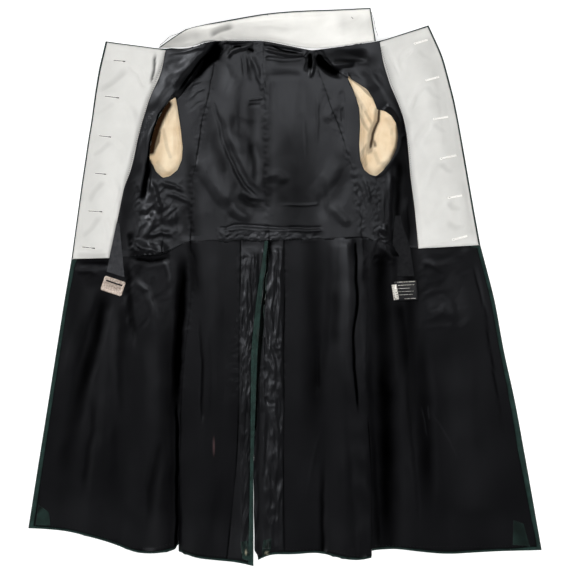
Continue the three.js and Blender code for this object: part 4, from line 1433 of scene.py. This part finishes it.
# %% Folds of the facings
facing_folds = chalk("""
    156,51 154,70 152,88 : -1.6 : 2 2.4 : 1.5
    160,56 157,74 153,92 : 1.6 : 3 3
    126,62 140,72 148,92 : -1.6 : 6 5
    120,98 132,112 138,132 : 1.6 : 6 6
    112,137 124,150 128,170 : -1.4 : 6 5
    107,174 118,190 120,210 : 1.5 : 6 6
    103,212 110,228 111,250 : -1.4 : 5 5
    100,110 94,160 86,205 : 1.4 : 9 9
    118,60 114,100 108,140 : -1 : 10 10
    414,44 404,56 398,74 : -1.4 : 5 5
    425,81 414,96 408,112 : 1.6 : 5 5
    433,119 422,134 414,150 : -1.6 : 6 5
    440,159 430,176 420,192 : 1.5 : 6 6
    447,198 436,212 424,226 : -1.4 : 6 6
    452,240 440,244 424,246 : 1.2 : 4 4
    436,60 444,110 452,160 : -1.2 : 8 8
    456,176 464,210 470,240 : 1.5 : 8 6
    386,44 392,60 400,80 : -1.6 : 3 3
    166,44 188,38 212,32 : -2 : 8 6
    208,36 222,34 236,36 : -2.4 : 6 6
    250,26 290,24 330,24 : 1.4 : 9 9
    330,34 352,28 368,16 : -1.4 : 8 8
    240,34 268,31 300,36 : -1.2 : 5 5
""")
print(len(facing_folds), "folds in the facings")

# %% Shade on the facings
facing_shade = chalk("""
    160,47 172,42 190,38 212,36 : 0.4 0.35 0.3 0.25 : 10 9 : 0 0.3
    209,39 221,33 236,28 : 0.55 : 2.5 7
    156.5,51 155,70 151.5,88 : 0.85 : 3.5 1.2
    372,20 376,30 379,38 : 0.25 : 6 3
    332,26 355,26 376,26 : 0.2 : 16 16 : 0.3 0
    104,60 92,150 80,250 : 0.07 : 20 26 : 0 0
    72,255 90,256 113,256 : 0.2 : 4 5
    166,50 160,70 148,100 138,135 127,180 117,225 110,258 : 0.35 : 3.4 2 : 0 0
    380,47 390,82 405,125 410,175 415,215 418,249 : 0.28 : 2 7 : 0 0.3
    424,34 443,96 461,180 472,240 : 0.13 : 20 10 : 0.04 0.04
    416,47 424,56 436,62 : 0.16 : 5 6
    424,84 432,95 446,102 : 0.15 : 5 7
    432,122 440,130 452,134 : 0.14 : 5 7
    438,162 446,170 456,174 : 0.16 : 4 7
    446,201 452,208 464,210 : 0.16 : 4 7
    444,222 456,228 470,226 : 0.15 : 6 5
    95,95 112,85 129,68 : 0.18 : 4 8
    92,118 104,110 118,102 : 0.1 : 5 6
    90,158 102,151 113,140 : 0.15 : 5 6
    88,206 96,192 106,178 : 0.15 : 4 7
    80,240 92,229 103,214 : 0.16 : 4 7
    74,252 82,246 96,252 108,250 : 0.1 : 4 4
""")
print(len(facing_shade), "shades on them")


# %% Lay the white wool
def as_white(points, rim):
    """Folds here only lift, because a trough would let the green wool through."""
    points, shade = as_upper(points, rim)
    edge = gap_to(points, rim)
    folds = 2.0 * creases(points, facing_folds) + sway(points, 22, 14, 30, 1.6, 65)
    points[:, 2] += np.maximum(folds + 2.4 * mm, 0.3 * mm) * smooth(edge / (14 * mm))
    # Painted shade from the table, and a little more over the last 4 mm before every edge.
    return points, np.maximum(painted(points, facing_shade), 0.22 * (1 - smooth(edge / (4 * mm))))


for hand in hands:
    surfaces.append(lay_cloth([f"lapel_facing_{hand}"], 4, white_wool, as_white, rim=1.8))
# The collar wears the brighter copy of the wool, as painted light.
surfaces.append(lay_cloth(["collar_facing"], 4, lit_collar_wool, as_white, rim=1.6))
lay_cloth(["under_collar"], 3, wool, as_outer, wall=1.6)

# %% [markdown]
# ## Sleeve linings
# Cream cotton shows through both armholes. It is soft, so it bulges in lobes with a dark fold
# between them, and it is dim where the shoulder rolls over it.

# %% Folds and shade of the cotton
cotton_folds = chalk("""
    176,100 172,125 170,150 168,172 : 5 : 10 9 : 2 : 0.1 0.1
    163,116 163,135 160,150 : 3 : 3 4 : 1.6
    170,104 165,118 162,140 : -1 : 3 4
    164,160 172,166 178,160 : 1.5 : 3 3
    174,120 172,140 174,158 : 1.2 : 3 3 : 1.6
    352,84 364,104 370,130 368,165 : 4 : 9 8 : 2 : 0.1 0.1
    379,110 378,124 373,136 370,152 : -6 : 3.4 3.4 : 1.6 : 0.05 0.2
    376,104 376,120 370,134 : 3 : 4 2 : 1.6
    382,112 381,126 376,140 373,154 : 4 : 2 5 : 1.6
    388,118 390,140 384,165 : 5 : 9 8 : 2 : 0.1 0.15
    365,112 369,119 : -1 : 2 2
    392,130 392,150 : -1 : 3 3
    366,150 365,166 : -1 : 2 2
""")
cotton_shade = chalk("""
    172,99 164,111 157,128 152.5,143 149,158 : 1 : 9 7.5
    160,130 158,142 153,152 : 0.8 : 4 3
    149,160 153,170 159,177 : 0.9 : 5 3
    172,178 180,172 : 0.4 : 3 3
    379,108 378.5,122 373,134 371,142 370,150 : 0.95 : 2.6 2.2
    371,138 374,143 375,148 : 0.7 : 2.6 2.6
    378,106 377,122 371,136 369,156 : 0.5 : 6 5
    364,110 370,120 374,128 : 0.35 : 2 2
    399,122 398,148 392,163 384,173 : 0.85 : 6 6
    347,76 360,86 373,98 378,110 : 0.5 : 2 2.4
    366,112 369,118 : 0.3 : 1.4 1.4
    392,128 391,136 : 0.25 : 2 2
    366,152 366,164 : 0.3 : 1.2 1.2
    357,120 358,150 363,168 : 0.4 : 3 2
    356,108 363,122 371,135 : 0.32 : 2 3
    368,142 362,152 366,168 : 0.38 : 2 3
    373,150 378,162 388,166 : 0.22 : 3 3
    351,92 360,102 367,114 : 0.16 : 3 3
    387,116 394,130 394,148 : 0.14 : 6 3
    163,126 166,146 171,160 : 0.2 : 2 3
    157,161 164,171 172,176 : 0.16 : 3 3
    177,104 179,130 178,156 : 0.14 : 3 2
""")
print(len(cotton_folds), "folds and", len(cotton_shade), "shades in the cotton")


# %% Lay the cotton
def as_cotton(points, rim):
    points = fit_armholes(lean(points, body_lean))
    points[:, 2] += creases(points, cotton_folds) + crumple(points, 12, 5, 80, 0.9, 41)
    points[:, 2] = np.maximum(points[:, 2], pile(points) + 1.4 * mm)
    shade = np.zeros(len(points))
    for line, strength, left, right in cotton_shade:
        near, share, aside = reach_of(points, line, left, right)
        fold = smooth(1.3 * profile(share, aside, left, right, 2.0, (0.1, 0.1)))
        shade[near] = np.maximum(shade[near], strength[0] * fold)
    return points, shade


for hand in hands:
    lay_cloth([f"sleeve_lining_{hand}"], 4, cotton, as_cotton)

# %% [markdown]
# ## Heights to sew on
# Straps, fittings and stitches lie on the finished cloth, so its height is looked up under them. A
# ray cast would do it too, but a tree of the sheets' own points needs no extra objects.

# %% Look up the cloth's height
cloth_points = np.concatenate(surfaces)
cloth_tree = tree_of(cloth_points * (1, 1, 0), range(len(cloth_points)))


def on_cloth(column, row, lift=0.0):
    """The place on the cloth over a square of the mat, lifted by some mm."""
    x, y = mat(column, row)
    near = [cloth_points[i][2] for _, i, gap in cloth_tree.find_n((x, y, 0), 4) if gap < 6 * mm]
    return (x, y, (max(near) if near else 3 * mm) + lift * mm)


print("cloth to sew on:", len(cloth_points), "points")

# %% [markdown]
# ## Waist straps
# A narrow twill tape hangs from each front to hold the coat shut inside. The left one carries a
# frame buckle, the right one a black clasp with a bright tongue.

# %% Straps
def as_strap(points, rim):
    points = settle(points)
    nearest = np.array([cloth_tree.find((x, y, 0))[1] for x, y, _ in points])
    points[:, 2] = np.maximum(points[:, 2], cloth_points[nearest][:, 2] + 1.2 * mm)
    points[:, 2] += crumple(points, 10, 5, 70, 0.5, 51)
    in_shade = 0.7 * (points[0, 0] > 0)
    return points, np.full(len(points), in_shade)


for hand in hands:
    lay_cloth([f"waist_strap_{hand}"], 4, tape_twill, as_strap, rim=1.2)

# %% [markdown]
# ## Small hard pieces
# The fittings and stitches are made from outlines and paths. An outline at several heights becomes a
# lofted solid, and a ring of points carried along a path becomes a thread or a wire. Both need far
# fewer faces than boolean cuts, and no clean-up after them.

# %% Outlines and lofts
def rounded_box(width, height, radius, count=32):
    loop = []
    for k in range(count):
        turn = 2 * math.pi * (k + 0.5) / count
        cx = math.copysign(width / 2 - radius, math.cos(turn))
        cy = math.copysign(height / 2 - radius, math.sin(turn))
        loop.append((cx + radius * math.cos(turn), cy + radius * math.sin(turn)))
    return loop


def loft(loops, close_end=False):
    """Faces between loops of points, one after another."""
    count = len(loops[0])
    points = [p for loop in loops for p in loop]
    faces = []
    for a in range(0, (len(loops) - 1) * count, count):
        b = a + count
        faces += [(a + k, a + (k + 1) % count, b + (k + 1) % count, b + k) for k in range(count)]
    if close_end:
        faces += [tuple(range(count))[::-1], tuple((len(loops) - 1) * count + k for k in range(count))]
    return points, faces


# %% Threads and wires
def tube(path, radius, sides=6, squash=1.0):
    """A thread or wire along a path of points, flattened by squash."""
    loops = []
    for k, p in enumerate(path):
        way = Vector(path[min(k + 1, len(path) - 1)]) - Vector(path[max(k - 1, 0)])
        side = way.cross(Vector((0, 0, 1))).normalized() if way.xy.length > 1e-9 else Vector((1, 0, 0))
        up = side.cross(way).normalized()
        r = radius[k] if isinstance(radius, list) else radius
        ring = []
        for t in (2 * math.pi * j / sides for j in range(sides)):
            ring.append(tuple(Vector(p) + side * r * math.cos(t) + up * r * squash * math.sin(t)))
        loops.append(ring)
    return loft(loops, True)


def gathered(parts):
    """Many small shapes as one."""
    points, faces = [], []
    for more_points, more_faces in parts:
        faces += [tuple(i + len(points) for i in face) for face in more_faces]
        points += more_points
    return points, faces


# %% Lay a small piece
def small_piece(name, shape, finish, stands_for=None):
    mesh = bpy.data.meshes.new(name)
    mesh.from_pydata(shape[0], [], shape[1])
    mesh.update()
    work = bmesh.new()
    work.from_mesh(mesh)
    bmesh.ops.recalc_face_normals(work, faces=work.faces)
    work.to_mesh(mesh)
    work.free()
    lay_piece(name, mesh, finish, stands_for, sheet=False)
    print(name, len(shape[1]), "faces")


# %% A seat on the cloth
def seat(column, row, turn, lift):
    """A function that puts outlines on the cloth at one spot, turned by an angle."""
    cx, cy, base = on_cloth(column, row, lift)

    def put(loop, up=0.0, shift=(0.0, 0.0), more_turn=0.0):
        c, s = math.cos(turn + more_turn), math.sin(turn + more_turn)
        moved = [(x + shift[0], y + shift[1]) for x, y in loop]
        return [(cx + x * c - y * s, cy + x * s + y * c, base + up) for x, y in moved]

    return put


# %% [markdown]
# ## Buckle
# The buckle is a stamped plate, rounded at its corners and thicker at its rim, with a slot for the
# tape. Its outlines run up the outside, over the rim and down into the slot, so the hole is part of
# the same loft.

# %% Buckle
put, into_slot = seat(113.5, 286, -0.32, 1.6), (0, 7 * mm)
edge = rounded_box(48 * mm, 33 * mm, 4 * mm)
rim_top, face = rounded_box(44 * mm, 29 * mm, 3 * mm), rounded_box(41 * mm, 26 * mm, 3 * mm)
slot = rounded_box(38 * mm, 3.2 * mm, 1.4 * mm)
plate = loft([put(edge), put(edge, 2.2 * mm), put(rim_top, 2.8 * mm), put(face, 2.0 * mm),
              put(slot, 2.0 * mm, into_slot), put(slot, 0.2 * mm, into_slot), put(edge)])
small_piece("buckle_plate", plate, worn_plate, "buckle_left")
dark_tape = rounded_box(38.4 * mm, 3.6 * mm, 1.5 * mm)
slot_floor = loft([put(dark_tape, up, into_slot) for up in (0.3 * mm, 0.9 * mm)], True)
small_piece("buckle_slot", slot_floor, black_metal)

# %% [markdown]
# ## Clasp
# The clasp is a ribbed black box with a folded tongue at its left. Each row of numbers below is one
# outline: its width, height and level in mm. The ribs are wires of uneven length, as wear left them.

# %% Clasp
put = seat(405.5, 290.5, 0.05, 1.4)


def tiers(radius, rows, shift=(0.0, 0.0), more_turn=0.0):
    boxes = [(rounded_box(w * mm, h * mm, radius * mm), up * mm) for w, h, up in rows]
    return loft([put(box, up, shift, more_turn) for box, up in boxes], True)


ribs = []
for y, start, end, thick in ((-18, 3, 21, 0.75), (-9, -17, 15, 0.4), (-2, -17, 17, 0.35),
                             (5, -17, 10, 0.45), (12, -17, 19, 0.5), (19, -18, 22, 0.8)):
    ribs.append(tube([put([(x * mm, y * mm)], 3.1 * mm)[0] for x in (start, -4, 8, end)], thick * mm))
box = tiers(3, ((48, 42, 0), (50, 43, 1.2), (48, 41, 2.6), (44, 37, 3.0)))
small_piece("clasp_box", box, black_metal, "clasp_right")
small_piece("clasp_ribs", gathered(ribs), bright_metal)
tongue = tiers(1.6, ((11, 33, 0.6), (12, 34, 2.4), (11, 33, 3.8), (7, 30, 4.3)), (-23.5 * mm, 0), 0.1)
small_piece("clasp_tongue", tongue, bright_metal)

# %% [markdown]
# ## Buttonholes
# Each facing has six worked buttonholes near its edge: a slit with two lips of close buttonhole
# stitch and a rounded inner end. A beaded tube round a dark slit gives the stitches their relief.
# Those on the left are squeezed shut and show their slits, those on the right show their thread.

# %% One buttonhole
stitches_round = 60


def lips_of(start, end, thick, apart):
    """A beaded thread out along one side and back along the other, wider at the inner end."""
    (ax, ay), (bx, by), length = start, end, math.dist(start, end)
    dx, dy = (bx - ax) / length, (by - ay) / length
    path, radii = [], []
    for k in range(stitches_round + 1):
        t = k / stitches_round
        along, side = (length * t * 2, -apart / 2.2) if t < 0.5 else (length * (2 - t * 2), apart / 2.2)
        side *= 1 + 0.8 * max(0, along / length - 0.85) / 0.15
        if along > length - 0.5:
            side *= 0.6
        path.append(on_cloth(ax + dx * along - dy * side, ay + dy * along + dx * side, 0.35))
        radii.append((thick + 0.25 * (k % 2)) * mm)
    return tube(path, radii, 6, 0.7)


def slit_of(start, end, wide, lift):
    (ax, ay), (bx, by), length = start, end, math.dist(start, end)
    dx, dy = (bx - ax) / length, (by - ay) / length
    path = [on_cloth(ax + dx * a, ay + dy * a, lift) for a in np.linspace(0.3, length - 0.4, 9)]
    return tube(path, [wide * mm] * 7 + [1.3 * mm, 1.1 * mm], 6, 0.4)


# %% Both rows of buttonholes
holes = {
    "left": points_in("113.5,60.5 126,62 105,96.5 120,98.5 99,136 112,137.5 \
        95,173.5 107,174.5 88.5,211 103,212 82,247 96,248.5"),
    "right": points_in("427.5,40 414,44 439,77 425,81 448,117 433,119.5 \
        456,155.5 440,159 462,195.5 447.5,198 467,236 452,240"),
}
for hand, ends in holes.items():
    lip, apart, wide, lift = (0.55, 0.9, 0.75, 0.8) if hand == "left" else (1.2, 1.0, 0.6, 0.3)
    pairs = list(zip(ends[::2], ends[1::2]))
    lips = gathered([lips_of(*pair, lip, apart) for pair in pairs])
    slits = gathered([slit_of(*pair, wide, lift) for pair in pairs])
    small_piece(f"buttonhole_lips_{hand}", lips, white_thread)
    small_piece(f"buttonhole_slits_{hand}", slits, black_thread)

# %% [markdown]
# ## Felling and loose threads
# The lining is felled to the facings by hand in small slanting stitches, and the edges of the coat
# are held by a row of them too. A few long threads at the collar's ends have worked loose.

# %% Rows of small stitches
def stitch_row(line, step, long, slant, lift=0.5, radius=0.28):
    """Stitches every so many squares along a line, each a short thread across it."""
    stitches, lengths = [], steps_of(line)
    for k in range(int(sum(lengths) / step)):
        far, i = (k + 0.5) * step, 0
        while far > lengths[i] and i < len(lengths) - 1:
            far, i = far - lengths[i], i + 1
        (ax, ay), (bx, by) = line[i], line[i + 1]
        dx, dy = (bx - ax) / lengths[i], (by - ay) / lengths[i]
        x, y = ax + dx * far, ay + dy * far
        reach = [s * long / 2 for s in (-1, 0, 1)]
        path = [on_cloth(x + (dx - slant * dy) * r, y + (dy + slant * dx) * r, lift) for r in reach]
        stitches.append(tube(path, radius * mm, 4, 0.8))
    return stitches


inner_edges = [points_in("166,52 160,72 148,102 138,137 127,182 117,227 111,256"),
               points_in("380.5,48 390.5,83 399.5,106 408.5,146 412.5,196 418,247")]
felling = [stitch for line in inner_edges for stitch in stitch_row(line, 2.2, 1.3, 0.9)]
hems = [points_in("34,524 85,529 125,546 150,549 174,542"), points_in("186,550 220,555 247,559"),
        points_in("268,548 330,550 365,557 376,545 420,546 526,546")]
hem_stitches = [stitch for line in hems for stitch in stitch_row(line, 3.4, 1.2, 0.5)]
small_piece("felling_stitches", gathered(felling + hem_stitches), black_thread)

# %% Loose threads
loose = [points_in(line) for line in ("160,46 164,42 170,36.5 180,33 188,31", "371,13 374,22 375,29 378,36",
                                      "351,18 353,20", "266,16.5 268,17.5")]
threads = [tube([on_cloth(*p, 0.8) for p in line], 0.5 * mm, 5) for line in loose]
small_piece("collar_threads", gathered(threads), black_thread)

# %% [markdown]
# ## Hem corners
# The maker faced the corners of the hem with scraps of the outer cloth.

# %% Hem corners
corner_shade = chalk("""
    34,516 42,505 50,499 : 0.85 : 5 5
    512,520 520,532 526,546 : 0.7 : 20 20 : 0 0
    240,534 244,546 249,556 : 0.7 : 3 6 : 0 0
    262,554 268,544 274,538 : 0.75 : 12 3 : 0 0
""")


def as_corner(points, rim):
    points, shade = as_upper(points, rim)
    # Painted shade darkens the whole corner a little, and its folds more.
    return points, np.maximum(np.maximum(shade, painted(points, corner_shade)), 0.3)


for corner in ("front_left", "front_right", "vent_left", "vent_right"):
    lay_cloth([f"hem_corner_{corner}"], 4, wool, as_corner, rim=1.2)

# %% [markdown]
# ## Buttons
# Twelve buttons are sewn to the outside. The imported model's shapes are right and only need metal.

# %% Buttons
buttons = [panel for name, panel in nodes.items() if name.startswith("button_")]
for button in buttons:
    button.data.materials.clear()
    button.data.materials.append(button_metal)
print(len(buttons), "buttons")
